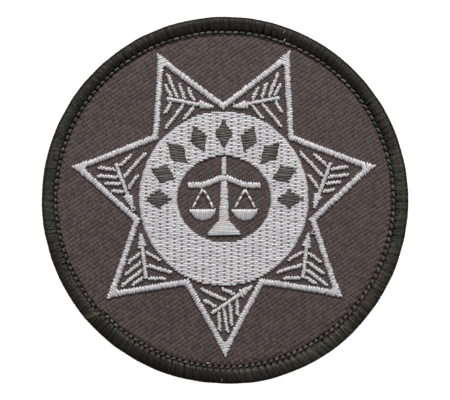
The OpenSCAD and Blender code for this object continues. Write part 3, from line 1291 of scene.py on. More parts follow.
@dataclass
class WoundEdge:
    """Thread-wound edge: close wraps over a flat roll, gathered a little towards the needle holes.

    Attributes:
        holes: The needle holes that the wraps come out of.
        wraps: Number of wraps.
        width: Width of the thread.
        depth: Depth of the thread.
        half_width: Half the roll's width.
        squareness: Power of the section's curve, which is 2 for an oval and more for a flatter top.
        bulge: How far the roll goes beyond its CAD node.
        tilt: How far a wrap is turned about its own length, in radians.
        under: Number of the place on a wrap's route where it goes under the roll.
        section_angles: Places of a wrap's route on the section's curve, in degrees from its outermost point.
        root: Radius of the wraps' first place, and its level against the cloth's face.
        back: Radius of each of the last two places, under the cloth, and its level against the lowest one.
        line_gap: How far the wraps keep outside the needle line.
        gathered: Share of the way to its hole that a wrap is pulled, how far that strays along the edge, what
            the collar adds, and the most that it may be.
        gathered_within: Distance from the holes over which the gathering fades.
        leaning: Lean of the wraps, and how far it strays slowly along the edge, in degrees.
        leaning_more: How much more they lean at most, in degrees.
        leaning_most_at: Angle from +X, anticlockwise, where they lean most, in radians.
        leaning_over: Angle over which the lean falls off on both sides, in radians.
        bumps: How far the roll's size strays slowly along the edge, as a share.
        wrap_spread: How far the roll's size strays from wrap to wrap, as a share.
        width_spread: How far a wrap's width strays, as a share.
        lean_spread: How far a wrap's lean strays, in radians.
        waver: How far a wrap strays along the edge, in radians.
        tone_spread: How far a wrap's brightness strays.
        fine_streaks: Strength of the narrow bright and dark streaks.
        broad_streaks: Strength of the broad ones.
        crest_out: How far out the roll's crest is pushed, in mm.
        collar_with_painted_light: Where the wraps gather more and get painted light on the bottom's inner
            slope, which faces the lamp, up to 1.
        painted_collar_light_gain: How much brighter that painted light makes them at most.
        painted_collar_light_reach: Number of the place on a wrap's route at which that painted light ends.
        painted_side_sheen: How strongly the wraps are painted brighter at the sides, as a painted sheen where
            they run across the lamp's light.
        painted_side_sheen_gain: How much brighter that painted sheen makes a wrap at a strength of 1.
        core_inset: How much less wide half the core is than half the roll.
        core_out: How far outside the roll's middle the core lies.
        core_shade_tone: Brightness of the core, darker than the wraps as painted shade where it shows between
            them.
    """

    holes: HoleLine
    wraps: int = 1000
    width: float = 0.35 * MM
    depth: float = 0.30 * MM
    half_width: float = 1.58 * MM
    squareness: float = 2.6
    bulge: float = 0.04 * MM
    tilt: float = 0.27
    under: int = 10
    section_angles: tuple[int, ...] = (160, 140, 118, 90, 66, 50, 36, 18, -12, -60)
    root: tuple[float, float] = (35.02 * MM, -0.25 * MM)
    back: tuple[tuple[float, float], ...] = ((36.1 * MM, 0.0), (34.85 * MM, 0.05 * MM))
    line_gap: float = 0.02 * MM
    gathered: tuple[float, float, float, float] = (0.35, 0.25, 0.3, 0.8)
    gathered_within: float = 0.8 * MM
    leaning: float = 4.0
    leaning_more: float = 20.0
    leaning_most_at: float = math.radians(275)
    leaning_over: float = 0.4
    bumps: float = 0.014
    wrap_spread: float = 0.006
    width_spread: float = 0.08
    lean_spread: float = 0.02
    waver: float = 0.0008
    tone_spread: float = 0.12
    fine_streaks: float = 0.32
    broad_streaks: float = 0.15
    crest_out: EdgeTable = (
        (0.0, 0.0), (90.0, 0.0), (125.0, 0.2), (140.0, 0.7), (172.0, 0.7), (184.0, 0.1), (230.0, 0.0),
        (360.0, 0.0),
    )
    # Painted light and gathering: near the bottom the wraps gather more towards the holes, and their inner
    # slope, which faces the lamp, is painted brighter.
    collar_with_painted_light: EdgeTable = (
        (0.0, 0.0), (135.0, 0.0), (155.0, 0.5), (170.0, 1.0), (224.0, 1.0), (229.0, 0.2), (245.0, 0.0),
        (360.0, 0.0),
    )
    painted_collar_light_gain: float = 0.7
    painted_collar_light_reach: EdgeTable = (
        (0.0, 4.0), (130.0, 4.0), (145.0, 5.2), (172.0, 5.2), (188.0, 3.8), (360.0, 3.8),
    )
    # Painted sheen: the wraps are painted brighter at the sides, where they run across the lamp's light.
    painted_side_sheen: EdgeTable = (
        (0.0, 0.0), (55.0, 0.0), (75.0, 0.9), (120.0, 1.1), (148.0, 1.1), (166.0, 0.2), (180.0, 0.0),
        (205.0, 0.0), (230.0, 0.6), (255.0, 0.8), (288.0, 0.8), (308.0, 0.0), (360.0, 0.0),
    )
    painted_side_sheen_gain: float = 1.25
    core_inset: float = 0.26 * MM
    core_out: float = 0.16 * MM
    core_shade_tone: float = 0.5

    def __post_init__(self) -> None:
        """Read the roll's size from its CAD node."""
        low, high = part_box("merrowed_border")
        self.low = float(low.z)
        self.half_height = float(high.z - low.z) / 2
        self.roll_at_r = float(high.x) + self.bulge - self.half_width
        self.cloth_high = float(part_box("ground_cloth")[1].z)

    def section(self) -> np.ndarray:
        """Give the route of one wrap as rows of radius and level, from its needle hole to the underside."""
        a, b = self.half_width - self.depth / 2, self.half_height - self.depth / 2
        angles = np.radians(self.section_angles)
        power = 2 / self.squareness
        out, up = (np.sign(v) * np.abs(v) ** power for v in (np.cos(angles), np.sin(angles)))
        arc = np.stack([self.roll_at_r + a * out, self.low + self.half_height + b * up], axis=1)
        root = np.array([self.root]) + [0.0, self.cloth_high]
        back = np.array(self.back) + [0.0, self.low + self.depth / 2]
        return np.concatenate([root, arc, back])

    def slant(self, bearing: np.ndarray, chance: np.random.Generator) -> np.ndarray:
        """Give how far the wraps lean, in radians. They lean most at the bottom.

        Args:
            bearing: Angles from +X, anticlockwise.
            chance: Source of the random parts.

        Returns:
            One lean for each wrap.
        """
        away = half_turned(bearing - self.leaning_most_at)
        more = self.leaning_more * np.exp(-((away / self.leaning_over) ** 2))
        return np.radians(self.leaning + more + self.leaning * ripple(bearing, chance, 3, 14))

    def wraps_layer(self) -> ThreadLayer:
        """Sweep all wraps round the roll."""
        route = self.section()
        form = ThreadForm.modelled(sides=6, rings=len(route), end_width=0.6)
        layer = ThreadLayer("edge_wraps", form, seed=11)
        chance = layer.chance
        own = FULL_TURN * np.arange(self.wraps) / self.wraps
        holes = self.holes.bearings()
        pulled = holes[np.abs(half_turned(own[:, None] - holes)).argmin(axis=1)]
        towards = half_turned(pulled - own)
        usual, stray, at_collar, most = self.gathered
        gather = usual + stray * ripple(own, chance, 3, 20) + at_collar * along_edge(own, self.collar_with_painted_light)
        gather = np.clip(gather, 0.0, most)
        near_hole = np.exp(-np.maximum(route[:, 0] - route[0, 0], 0.0) / self.gathered_within)
        near_hole[self.under :] = 0.0
        lean = self.slant(own, chance) + chance.normal(0.0, self.lean_spread, self.wraps)
        leaning = np.tan(lean)[:, None] * (route[:, 0] - self.roll_at_r) / self.roll_at_r
        leaning[:, self.under - 1 :] = leaning[:, self.under - 2, None]
        own = own + chance.normal(0.0, self.waver, self.wraps)
        bearing = own[:, None] + (towards * gather)[:, None] * near_hole + leaning
        swell = 1.0 + self.bumps * ripple(own, chance, 10, 50)
        swell = swell + chance.normal(0.0, self.wrap_spread, self.wraps)
        widths = self.width * chance.normal(1.0, self.width_spread, self.wraps)[:, None]
        tilt = self.tilt * (ripple(own, chance, 120, 330) + chance.normal(0.0, 0.3, self.wraps))
        radius, level = self.swollen(own, route, swell[:, None])
        tones = self.wrap_tones(layer, own, len(route))
        layer.sweep(*self.around(radius, bearing, level), widths, self.depth, tones, tilt)
        self.add_join(layer, route)
        return layer

    def wrap_tones(self, layer: ThreadLayer, bearing: np.ndarray, rings: int) -> np.ndarray:
        """Draw the brightness of the wraps, in streaks, with painted sheen at the sides and painted light at
        the bottom near the holes.

        Args:
            layer: Layer whose chance draws it.
            bearing: Angle of each wrap from +X, anticlockwise.
            rings: Number of rings of a wrap.

        Returns:
            One value for each ring of each wrap.
        """
        streaks = self.fine_streaks * ripple(bearing, layer.chance, 100, 320)
        streaks = streaks + self.broad_streaks * ripple(bearing, layer.chance, 5, 40)
        tones = np.clip(layer.tones(self.wraps, self.tone_spread) + streaks, 0.3, 1.9)
        # Painted sheen at the sides.
        tones = tones * (1.0 + self.painted_side_sheen_gain * along_edge(bearing, self.painted_side_sheen))
        # Painted light on the bottom's inner slope, over the first places of each wrap's route.
        before_end = along_edge(bearing, self.painted_collar_light_reach)[:, None] - np.arange(rings)
        collar_with_painted_light = along_edge(bearing, self.collar_with_painted_light)[:, None] * np.clip(before_end / 2, 0.0, 1.0)
        return tones[:, None] * (1.0 + self.painted_collar_light_gain * collar_with_painted_light)

    @staticmethod
    def around(
        radius: np.ndarray, bearing: np.ndarray, level: np.ndarray
    ) -> tuple[np.ndarray, np.ndarray]:
        """Give the places of the wraps' rings, and the directions across the wraps there.

        Args:
            radius: Distance of each ring from the patch's middle, wrap by ring.
            bearing: Its angle from +X, anticlockwise.
            level: Its level.

        Returns:
            Two arrays, wrap by ring by 3.
        """
        centres = np.stack([radius * np.cos(bearing), radius * np.sin(bearing), level], axis=2)
        across = np.stack([-np.sin(bearing), np.cos(bearing), np.zeros_like(bearing)], axis=2)
        return centres, across

    def swollen(
        self, bearing: np.ndarray, route: np.ndarray, swell: np.ndarray
    ) -> tuple[np.ndarray, np.ndarray]:
        """Fit the route of the wraps to the course of the needle line and to the roll's bumps.

        Args:
            bearing: Angle of each wrap from +X, anticlockwise.
            route: Route of one wrap.
            swell: Size of each wrap against the plain roll.

        Returns:
            The radius and the level of every wrap at every place of the route.
        """
        half = self.roll_at_r - self.holes.line(bearing) - self.line_gap
        inner = (half / (self.roll_at_r - route[0, 0]))[:, None]
        out = route[:, 0] - self.roll_at_r
        middle = self.low + self.half_height
        crest_out = along_edge(bearing, self.crest_out)[:, None] * MM
        height = np.clip((route[:, 1] - middle) / self.half_height, 0.0, 1.0)
        height[0] = 0.0
        radius = self.roll_at_r + np.where(out < 0, out * inner, out * swell)
        radius += crest_out * height
        radius[:, self.under :] = self.roll_at_r + out[self.under :]
        level = middle + (route[:, 1] - middle) * np.clip(swell, 0.9, 1.03)
        return radius, np.maximum(level, self.low + self.depth / 2)

    def add_join(self, layer: ThreadLayer, route: np.ndarray) -> None:
        """Lay the two looser strands that cross the roll where the winding ends.

        Args:
            layer: Layer that takes them.
            route: Route of one wrap.
        """
        start = self.holes.join + np.array([0.002, -0.012])
        end = self.holes.join + np.array([-0.040, -0.052])
        swell = np.array([[1.06], [1.03]])
        tones = np.array([6.0, 4.0])
        width, depth, lifted = 0.5 * MM, 0.34 * MM, 0.06 * MM
        share = np.clip((np.arange(len(route)) - 0.5) / 6, 0.0, 1.0)
        bearing = start[:, None] * (1 - share) + end[:, None] * share
        radius, level = self.swollen(start, route, swell)
        layer.sweep(*self.around(radius, bearing, level + lifted), width, depth, tones)

    def core(self) -> bpy.types.Object:
        """Spin the oval body inside the wraps, so that no light shows between them."""
        deselect_all()
        bpy.ops.mesh.primitive_circle_add(vertices=20, radius=1.0)
        core = bpy.context.active_object
        core.name = "edge_core"
        bpy.ops.object.mode_set(mode="EDIT")
        bpy.ops.mesh.select_all(action="SELECT")
        half_size = (self.half_width - self.core_inset, self.half_height - 0.8 * self.depth, 1.0)
        bpy.ops.transform.resize(value=half_size)
        bpy.ops.transform.rotate(value=math.pi / 2, orient_axis="X", center_override=(0.0, 0.0, 0.0))
        place = (self.roll_at_r + self.core_out, 0.0, self.low + self.half_height)
        bpy.ops.transform.translate(value=place)
        bpy.ops.mesh.spin(steps=240, angle=FULL_TURN, center=(0.0, 0.0, 0.0), axis=(0.0, 0.0, 1.0))
        bpy.ops.mesh.select_all(action="SELECT")
        bpy.ops.mesh.remove_doubles(threshold=SAME_PLACE)
        bpy.ops.mesh.normals_make_consistent(inside=False)
        bpy.ops.object.mode_set(mode="OBJECT")
        bpy.ops.object.shade_smooth()
        return core

    def build(self) -> None:
        """Build and dress the wound edge."""
        wraps = self.wraps_layer().built()
        core = self.core()
        # Painted shade: the core is darker than the wraps where it shows between them.
        tone = core.data.attributes.new(TONE, "FLOAT", "POINT")
        dark = np.full(len(core.data.vertices), self.core_shade_tone, dtype=np.float32)
        tone.data.foreach_set("value", dark)
        core.data.uv_layers[0].name = THREAD_MAP
        deselect_all()
        core.select_set(True)
        wraps.select_set(True)
        bpy.context.view_layer.objects.active = wraps
        bpy.ops.object.join()
        dress(wraps, EDGE, Slot.EDGE, "merrowed_border")


@dataclass
class NeedleLine:
    """Line of needle-thread loops just inside the wound edge, one from each needle hole to the next.

    Attributes:
        holes: The needle holes.
        loop: Measures of the thick leg of the chain.
        loop_start: Share of the way to the next hole at which a thick leg comes up.
        leg: Measures of the thin leg.
        leg_in: How far inside the line the thin legs lie.
        leg_ends: Shares of the way to the next hole at which a thin leg comes up and goes down.
        leg_tone: Brightness of the thin legs where they begin to show, and what the middle one has more.
        legs_within: Angle on both sides of the top within which they show.
        broken_within: Angle on both sides of the join within which the chain is broken.
        below: How far the threads' roots lie under the CAD node.
        above: How far their tops rise over it.
        waver: How far an end strays from its distance from the middle.
    """

    holes: HoleLine
    loop: Stitching = Stitching(
        width=0.46 * MM,
        depth=0.36 * MM,
        shoulder=0.36 * MM,
        root=0.15 * MM,
        lift=0.05 * MM,
        sink=0.0,
        tone_spread=0.24,
    )
    loop_start: float = 0.14
    leg: Stitching = Stitching(
        width=0.22 * MM,
        depth=0.2 * MM,
        shoulder=0.3 * MM,
        lift=0.03 * MM,
        sink=0.35 * MM,
        tone_spread=0.3,
    )
    leg_in: float = 0.50 * MM
    leg_ends: tuple[float, float] = (0.12, 0.98)
    leg_tone: tuple[float, float] = (0.4, 0.4)
    legs_within: float = math.radians(35)
    broken_within: float = math.radians(1.9)
    below: float = 0.12 * MM
    above: float = 0.1 * MM
    waver: float = 0.035 * MM

    def build(self) -> None:
        """Lay the chain's thick leg from each needle hole to the next, and the thin one where it shows."""
        low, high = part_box("needle_line")
        form = ThreadForm.modelled(sides=8, rings=9, end_width=0.65)
        layer = ThreadLayer("needle_stitches", form, seed=21)
        first = self.holes.bearings()
        following = np.roll(first, -1)
        following[-1] += FULL_TURN
        whole = np.abs((first + following) / 2 - self.holes.join) > self.broken_within
        first, following = first[whole], following[whole]
        floor, top = float(low.z) - self.below, float(high.z) + self.above
        lean, loop_end = self.lean(first), self.loop_start + self.length(first)
        starts = self.row(layer, first, following, self.loop_start, lean / 2)
        ends = self.row(layer, first, following, loop_end, -lean / 2)
        self.loop.lay(layer, starts, ends, floor, top)
        shown = np.abs(first - math.pi / 2) < self.legs_within
        first, following = first[shown], following[shown]
        holes = [self.row(layer, first, following, share, -self.leg_in) for share in self.leg_ends]
        fading = np.cos((first - math.pi / 2) / self.legs_within * math.pi / 2)
        least, more = self.leg_tone
        self.leg.lay(layer, *holes, floor, top, dim=least + more * fading)
        dress(layer.built(), NEEDLE, Slot.NEEDLE, "needle_line")

    def row(
        self,
        layer: ThreadLayer,
        first: np.ndarray,
        following: np.ndarray,
        share: float | np.ndarray,
        out: float | np.ndarray,
    ) -> np.ndarray:
        """Place one end of every stitch between its hole and the next.

        Args:
            layer: Layer whose chance moves the ends a little.
            first: Angles of the holes.
            following: Angles of the next holes.
            share: How far along towards the next hole the ends lie.
            out: How far outside the line they lie.

        Returns:
            Rows of x and y.
        """
        bearing = first + share * (following - first)
        radius = self.holes.line(first) + out + layer.chance.normal(0.0, self.waver, len(first))
        return on_circle(radius, bearing)

    @staticmethod
    def lean(bearing: np.ndarray) -> np.ndarray:
        """Give how much farther out a loop begins than it ends, which is most on the right.

        Args:
            bearing: Angles of the loops from +X, anticlockwise.

        Returns:
            The differences.
        """
        usual, more, most_at = 0.10, 0.24, math.radians(-10)
        return (usual + more * np.cos(bearing - most_at)) * MM

    @staticmethod
    def length(bearing: np.ndarray) -> np.ndarray:
        """Give the share of a loop's way that it is seen on, which is most at the top.

        Args:
            bearing: Angles of the loops from +X, anticlockwise.

        Returns:
            The shares.
        """
        usual, at_top, at_right = 0.66, 0.13, 0.05
        return usual + at_top * np.sin(bearing) + at_right * np.cos(bearing)


@dataclass
class StarBand:
    """Satin band of the seven-pointed star, with solid tips and mitred notches.

    Attributes:
        stitching: Measures of the stitches.
        ease: Distance from a corner over which the stitches turn out of the corner's slant.
        spread: How much wider than the CAD band the threads lie.
        tip_beyond: How far before the tip's corner its first stitch lies.
        tip_overlap: How far behind the inner corner the tip's stitches go on.
        tip_spread: How much farther out than in the band half a stitch of the tip ends.
        tip_pitch: Distance between the tip's stitches, as a share of the band's.
    """

    stitching: Stitching = Stitching()
    ease: float = 1.7 * MM
    spread: float = 0.10 * MM
    tip_beyond: float = 0.22 * MM
    tip_overlap: float = 0.3 * MM
    tip_spread: float = 0.1 * MM
    tip_pitch: float = 0.8

    def build(self, floor: float) -> None:
        """Lay the band's stitches and the tips'.

        Args:
            floor: Level of the cloth's face.
        """
        plan = Plan.of_node("star_outline")
        outer = self.by_bearing(plan.outer())
        inner = self.by_bearing(min(plan.loops, key=lambda loop: np.ptp(loop[:, 0])))
        tips = np.hypot(*outer.T) > np.hypot(*outer.T).mean()
        form = ThreadForm.modelled(sides=7, rings=7, end_width=0.6)
        layer = ThreadLayer("star_satin", form, seed=31)
        count = len(outer)
        for tip in np.flatnonzero(tips):
            for notch in ((tip + 1) % count, (tip - 1) % count):
                self.band(layer, outer[tip], inner[tip], outer[notch], inner[notch], floor, plan.high)
            neighbours = outer[(tip + 1) % count], outer[(tip - 1) % count]
            self.tip(layer, outer[tip], inner[tip], neighbours, floor, plan.high)
        dress(layer.built(), SILVER, Slot.SILVER, "star_outline")

    @staticmethod
    def by_bearing(loop: np.ndarray) -> np.ndarray:
        """Sort an outline's corners anticlockwise."""
        return loop[np.argsort(np.arctan2(loop[:, 1], loop[:, 0]))]

    def band(
        self,
        layer: ThreadLayer,
        tip: np.ndarray,
        inner_tip: np.ndarray,
        notch: np.ndarray,
        inner_notch: np.ndarray,
        floor: float,
        top: float,
    ) -> None:
        """Lay one straight stretch of the band, from a tip to a notch.

        Args:
            layer: Layer that takes the stitches.
            tip: Outer corner of the tip.
            inner_tip: Inner corner of the tip.
            notch: Outer corner of the notch.
            inner_notch: Inner corner of the notch.
            floor: Level of the cloth's face.
            top: Highest level of the threads.
        """
        along = unit_rows(notch - tip)
        axis = unit_rows(inner_tip - tip)
        side = np.array([-axis[1], axis[0]])
        side = side if side @ along > 0 else -side
        start_outer = np.linalg.solve(np.array([along, -side]).T, inner_tip - tip)[0]
        start_inner = (inner_tip - tip) @ along
        end_outer = (notch - tip) @ along
        end_inner = (inner_notch - tip) @ along
        begin, finish = (start_outer + start_inner) / 2, (end_outer + end_inner) / 2
        count = round((finish - begin) / self.stitching.pitch)
        place = begin + (np.arange(count + 1) + 0.2) * (finish - begin) / count
        lean = (start_outer - start_inner) * np.exp(-(place - begin) / self.ease)
        lean += (end_outer - end_inner) * np.exp(-np.maximum(finish - place, 0.0) / self.ease)
        inward = unit_rows((inner_notch - tip) - along * end_inner)
        breadth = np.linalg.norm((inner_notch - tip) - along * end_inner)
        outer_holes = tip - inward * self.spread / 2 + along * (place + lean / 2)[:, None]
        inner_holes = tip + inward * (breadth + self.spread / 2) + along * (place - lean / 2)[:, None]
        holes = np.where((np.arange(count + 1) % 2 == 0)[:, None], outer_holes, inner_holes)
        self.stitching.run(layer, holes, floor, top)

    def tip(
        self,
        layer: ThreadLayer,
        tip: np.ndarray,
        inner_tip: np.ndarray,
        neighbours: tuple[np.ndarray, np.ndarray],
        floor: float,
        top: float,
    ) -> None:
        """Fill one solid tip with stitches across its axis.

        Args:
            layer: Layer that takes the stitches.
            tip: Outer corner of the tip.
            inner_tip: Inner corner of the tip.
            neighbours: Outer corners of the notches on both sides.
            floor: Level of the cloth's face.
            top: Highest level of the threads.
        """
        axis = unit_rows(inner_tip - tip)
        depth = np.linalg.norm(inner_tip - tip) + self.tip_overlap
        count = max(4, round(depth / (self.tip_pitch * self.stitching.pitch)))
        beyond = self.spread + self.tip_spread
        holes = []
        for number, place in enumerate(np.linspace(-self.tip_beyond, depth, count)):
            side = unit_rows(neighbours[number % 2] - tip)
            across = side - axis * (side @ axis)
            wide = max(place, 0.0) / (side @ axis) * across + unit_rows(across) * beyond
            holes.append(tip + axis * place + wide)
        self.stitching.run(layer, np.array(holes), floor, top)


@dataclass
class SatinShapes:
    """Arrows, barbs, scales and lozenges: flat shapes filled with satin.

    Attributes:
        seed: Seed of the shape that was made last. Each shape takes the next one.
        cord: Measures of the stitches in the pans' cords.
        cord_stitches: Number of stitches in each cord.
        cord_inset: How far inside the CAD node's box the cords' middles begin and end.
        cord_waver: How far a cord's needle hole strays.
        cord_gap: How far a cord's stitch keeps from its needle holes.
        cord_above: How far the cords' tops rise over the CAD node.
        cord_tone: Brightness of the cords.
    """

    seed: int = 100
    cord: Stitching = Stitching(
        width=0.52 * MM, depth=0.3 * MM, shoulder=0.55 * MM, root=0.2 * MM, sink=0.0
    )
    cord_stitches: int = 3
    cord_inset: float = 0.2 * MM
    cord_waver: float = 0.06 * MM
    cord_gap: float = 0.06 * MM
    cord_above: float = 0.1 * MM
    cord_tone: float = 1.08

    def __post_init__(self) -> None:
        """Model the thread that all shapes share."""
        self.form = ThreadForm.modelled(sides=8, rings=8, end_width=0.55)

    def shape(
        self,
        node: str,
        grain: Grain,
        floor: float,
        stitching: Stitching = Stitching(),
        finish: ThreadFinish = SILVER,
        slot: Slot = Slot.SILVER,
    ) -> None:
        """Fill one node's outlines with stitches.

        Args:
            node: CAD node that the stitches replace.
            grain: Which way they run.
            floor: Level of the surface that they are sewn on.
            stitching: Their measures.
            finish: Their thread.
            slot: The record's slot of that thread.
        """
        self.seed += 1
        layer = ThreadLayer(f"{node}_stitches", self.form, self.seed)
        for part in Plan.of_node(node).parts():
            angle = {
                Grain.ACROSS: part.longest_side() + math.pi / 2,
                Grain.LEVEL: 0.0,
                Grain.UPRIGHT: math.pi / 2,
            }[grain]
            stitching.fill(layer, part, angle, floor)
        dress(layer.built(), finish, slot, node)

    def cords(self, node: str, floor: float) -> None:
        """Sew the two cords of one pan as short running stitches from their apex.

        Args:
            node: CAD node that the stitches replace.
            floor: Level of the cloth's face.
        """
        self.seed += 1
        form = ThreadForm.modelled(sides=8, rings=9, end_width=0.2)
        layer = ThreadLayer(f"{node}_stitches", form, self.seed)
        low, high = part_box(node)
        inset, count = self.cord_inset, self.cord_stitches + 1
        top = float(high.z) + self.cord_above
        apex = np.array([(low.x + high.x) / 2, high.y - inset])
        cuts = np.linspace(0.0, 1.0, count)[:, None]
        for foot_x in (low.x + inset, high.x - inset):
            foot = np.array([foot_x, low.y + inset / 2])
            holes = apex + (foot - apex) * cuts + layer.chance.normal(0.0, self.cord_waver, (count, 2))
            gap = unit_rows(foot - apex) * self.cord_gap
            self.cord.lay(layer, holes[:-1] + gap, holes[1:] - gap, floor, top, dim=self.cord_tone)
        dress(layer.built(), SILVER, Slot.SILVER, node)


@dataclass
class RingRows:
    """Ring of flat fill: level rows of stitches whose needle holes line up in columns.

    Attributes:
        stitching: Measures of the stitches.
        stitch: Length of a whole stitch.
        first_column: Place of one column of needle holes along X.
        shortest: Shortest first or last stitch of a row.
        smallest: Shortest row that is sewn.
        ragged: How far a row's end strays out at most.
        waver: How far a needle hole strays.
        waves: Height and the two lengths, along X and Y, of each wave in the rows.
    """

    stitching: Stitching = Stitching(
        pitch=0.39 * MM,
        width=0.54 * MM,
        shoulder=0.48 * MM,
        root=0.3 * MM,
        tilt=0.07,
        sink=0.06 * MM,
        tone_spread=0.045,
    )
    stitch: float = 2.955 * MM
    first_column: float = -1.62 * MM
    shortest: float = 0.9 * MM
    smallest: float = 0.4 * MM
    ragged: float = 0.10 * MM
    waver: float = 0.02 * MM
    waves: tuple[tuple[float, float, float], ...] = (
        (0.07 * MM, 1.9 * MM, 4.1 * MM),
        (0.05 * MM, 0.83 * MM, -1.7 * MM),
    )

    def build(self, floor: float) -> Plan:
        """Lay all rows of the ring.

        Args:
            floor: Level of the cloth's face.

        Returns:
            The ring's plan.
        """
        plan = Plan.of_node("ring_fill")
        form = ThreadForm.modelled(sides=8, rings=8, end_width=0.55)
        layer = ThreadLayer("ring_rows", form, seed=41)
        low, high = plan.reach(math.pi / 2)
        rows = round((high - low) / self.stitching.pitch)
        step = (high - low) / rows
        most_in, most_out = -0.6, 1.0
        stray = layer.chance.uniform(most_in, most_out, (2, 2, rows)) * self.ragged
        starts, ends = [], []
        for row in range(rows):
            y = low + (row + 0.5) * step
            spans = plan.spans(0.0, y)
            for number, (first, last) in enumerate(spans):
                first -= stray[0, number, (row + 1) // 2]
                last += stray[1, number, row // 2]
                for a, b in self.cut(first, last, row):
                    starts.append((a, y + self.wave(a, y)))
                    ends.append((b, y + self.wave(b, y)))
        holes = np.array([starts, ends]) + layer.chance.normal(0.0, self.waver, (2, len(starts), 2))
        self.stitching.lay(layer, *holes, floor, plan.high)
        dress(layer.built(), SILVER, Slot.SILVER, "ring_fill")
        return plan

    def cut(self, first: float, last: float, row: int) -> list[tuple[float, float]]:
        """Cut one stretch of a row into stitches at the hole columns.

        Args:
            first: Where the stretch begins.
            last: Where it ends.
            row: Number of the row, whose columns are set off by half a stitch in every second row.

        Returns:
            The two ends of each stitch.
        """
        if last - first < self.smallest:
            return []
        offset = self.first_column + (self.stitch / 2 if row % 2 else 0.0)
        lowest, highest = (first - offset) / self.stitch, (last - offset) / self.stitch
        holes = offset + np.arange(math.floor(lowest), math.ceil(highest) + 1) * self.stitch
        holes = holes[(holes > first + self.shortest) & (holes < last - self.shortest)]
        places = [first, *holes, last]
        return list(zip(places[:-1], places[1:]))

    def wave(self, x: float, y: float) -> float:
        """Give how far a row strays from its level at a place."""
        return sum(height * math.sin(x / along + y / up) for height, along, up in self.waves)


@dataclass(frozen=True)
class Fibre:
    """One loose end of thread or speck of lint.

    Attributes:
        course: Rows of x, y and height over the cloth's face, in mm.
        thickness: Its thickness in mm.
        tone: Its brightness.
    """

    course: tuple[tuple[float, float, float], ...]
    thickness: float
    tone: float = 1.0

    def centres(self, rings: int) -> np.ndarray:
        """Place rings evenly along the fibre's course, in mm."""
        course = np.array(self.course)
        walked = np.concatenate([[0.0], np.cumsum(np.linalg.norm(np.diff(course, axis=0), axis=1))])
        places = np.linspace(0.0, walked[-1], rings)
        points = np.stack([np.interp(places, walked, course[:, axis]) for axis in range(3)], axis=1)
        points[1:-1] = (points[:-2] + 2 * points[1:-1] + points[2:]) / 4
        return points


@dataclass
class LooseFibres:
    """Loose thread ends on the embroidery and lint on the edge."""

    fibres: tuple[Fibre, ...] = (
        Fibre(
            (
                (-19.05, -1.36, 0.4),
                (-18.72, -1.5, 0.5),
                (-18.64, -1.95, 0.5),
                (-18.9, -2.24, 0.45),
                (-19.65, -2.25, 0.35),
            ),
            0.32,
        ),
        Fibre(((-19.1, -1.36, 0.5), (-19.3, -1.75, 0.5), (-19.36, -2.25, 0.4)), 0.28),
        Fibre(((18.45, -6.0, 0.5), (18.15, -6.6, 0.45), (17.8, -7.0, 0.3)), 0.24),
        Fibre(((17.75, -7.0, 0.3), (18.35, -6.98, 0.4), (19.05, -7.05, 0.5)), 0.22),
        Fibre(((1.7, 20.2, 0.6), (1.85, 19.8, 0.45), (2.0, 19.4, 0.15)), 0.26),
        Fibre(((12.0, 34.55, 0.8), (12.2, 34.75, 0.95), (12.45, 35.0, 0.95)), 0.20, 0.55),
        Fibre(((12.4, 32.8, 0.4), (12.3, 33.1, 0.6), (12.45, 33.45, 0.7)), 0.32, 0.6),
        Fibre(((-3.8, -33.9, 0.2), (-3.56, -33.86, 0.35), (-3.3, -33.9, 0.2)), 0.30),
        Fibre(((-0.72, -36.95, 0.75), (-0.66, -37.3, 0.8), (-0.6, -37.75, 0.6)), 0.34, 0.25),
        Fibre(((8.5, 34.7, 0.6), (8.56, 34.9, 0.7), (8.6, 35.1, 0.75)), 0.22, 0.4),
    )

    def build(self, floor: float) -> None:
        """Lay all fibres as one piece.

        Args:
            floor: Level of the cloth's face.
        """
        layer = ThreadLayer("loose_fibres", ThreadForm.modelled(sides=6, rings=9, end_width=0.4), seed=51)
        for fibre in self.fibres:
            centres = fibre.centres(layer.form.rings) * MM + np.array([0.0, 0.0, floor])
            along = unit_rows(np.gradient(centres, axis=0))
            across = unit_rows(np.cross([0.0, 0.0, 1.0], along))
            thickness = fibre.thickness * MM
            layer.sweep(centres[None], across[None], thickness, 0.8 * thickness, np.array([fibre.tone]))
        dress(layer.built(), SILVER, Slot.SILVER)


# Studio


@dataclass(frozen=True)
class Lamp:
    """Oblong area light that faces the patch.

    Attributes:
        name: Name of the light.
        place: Where it hangs.
        size: Its width and height.
        power: Its power in watts.
    """

    name: str
    place: tuple[float, float, float]
    size: tuple[float, float]
    power: float

    def hang(self) -> None:
        """Add the light to the scene."""
        data = bpy.data.lights.new(self.name, "AREA")
        data.shape = "RECTANGLE"
        data.size, data.size_y = self.size
        data.energy = self.power
        light = bpy.data.objects.new(self.name, data)
        bpy.context.scene.collection.objects.link(light)
        light.location = self.place
        light.rotation_euler = (-Vector(self.place)).to_track_quat("-Z", "Y").to_euler()


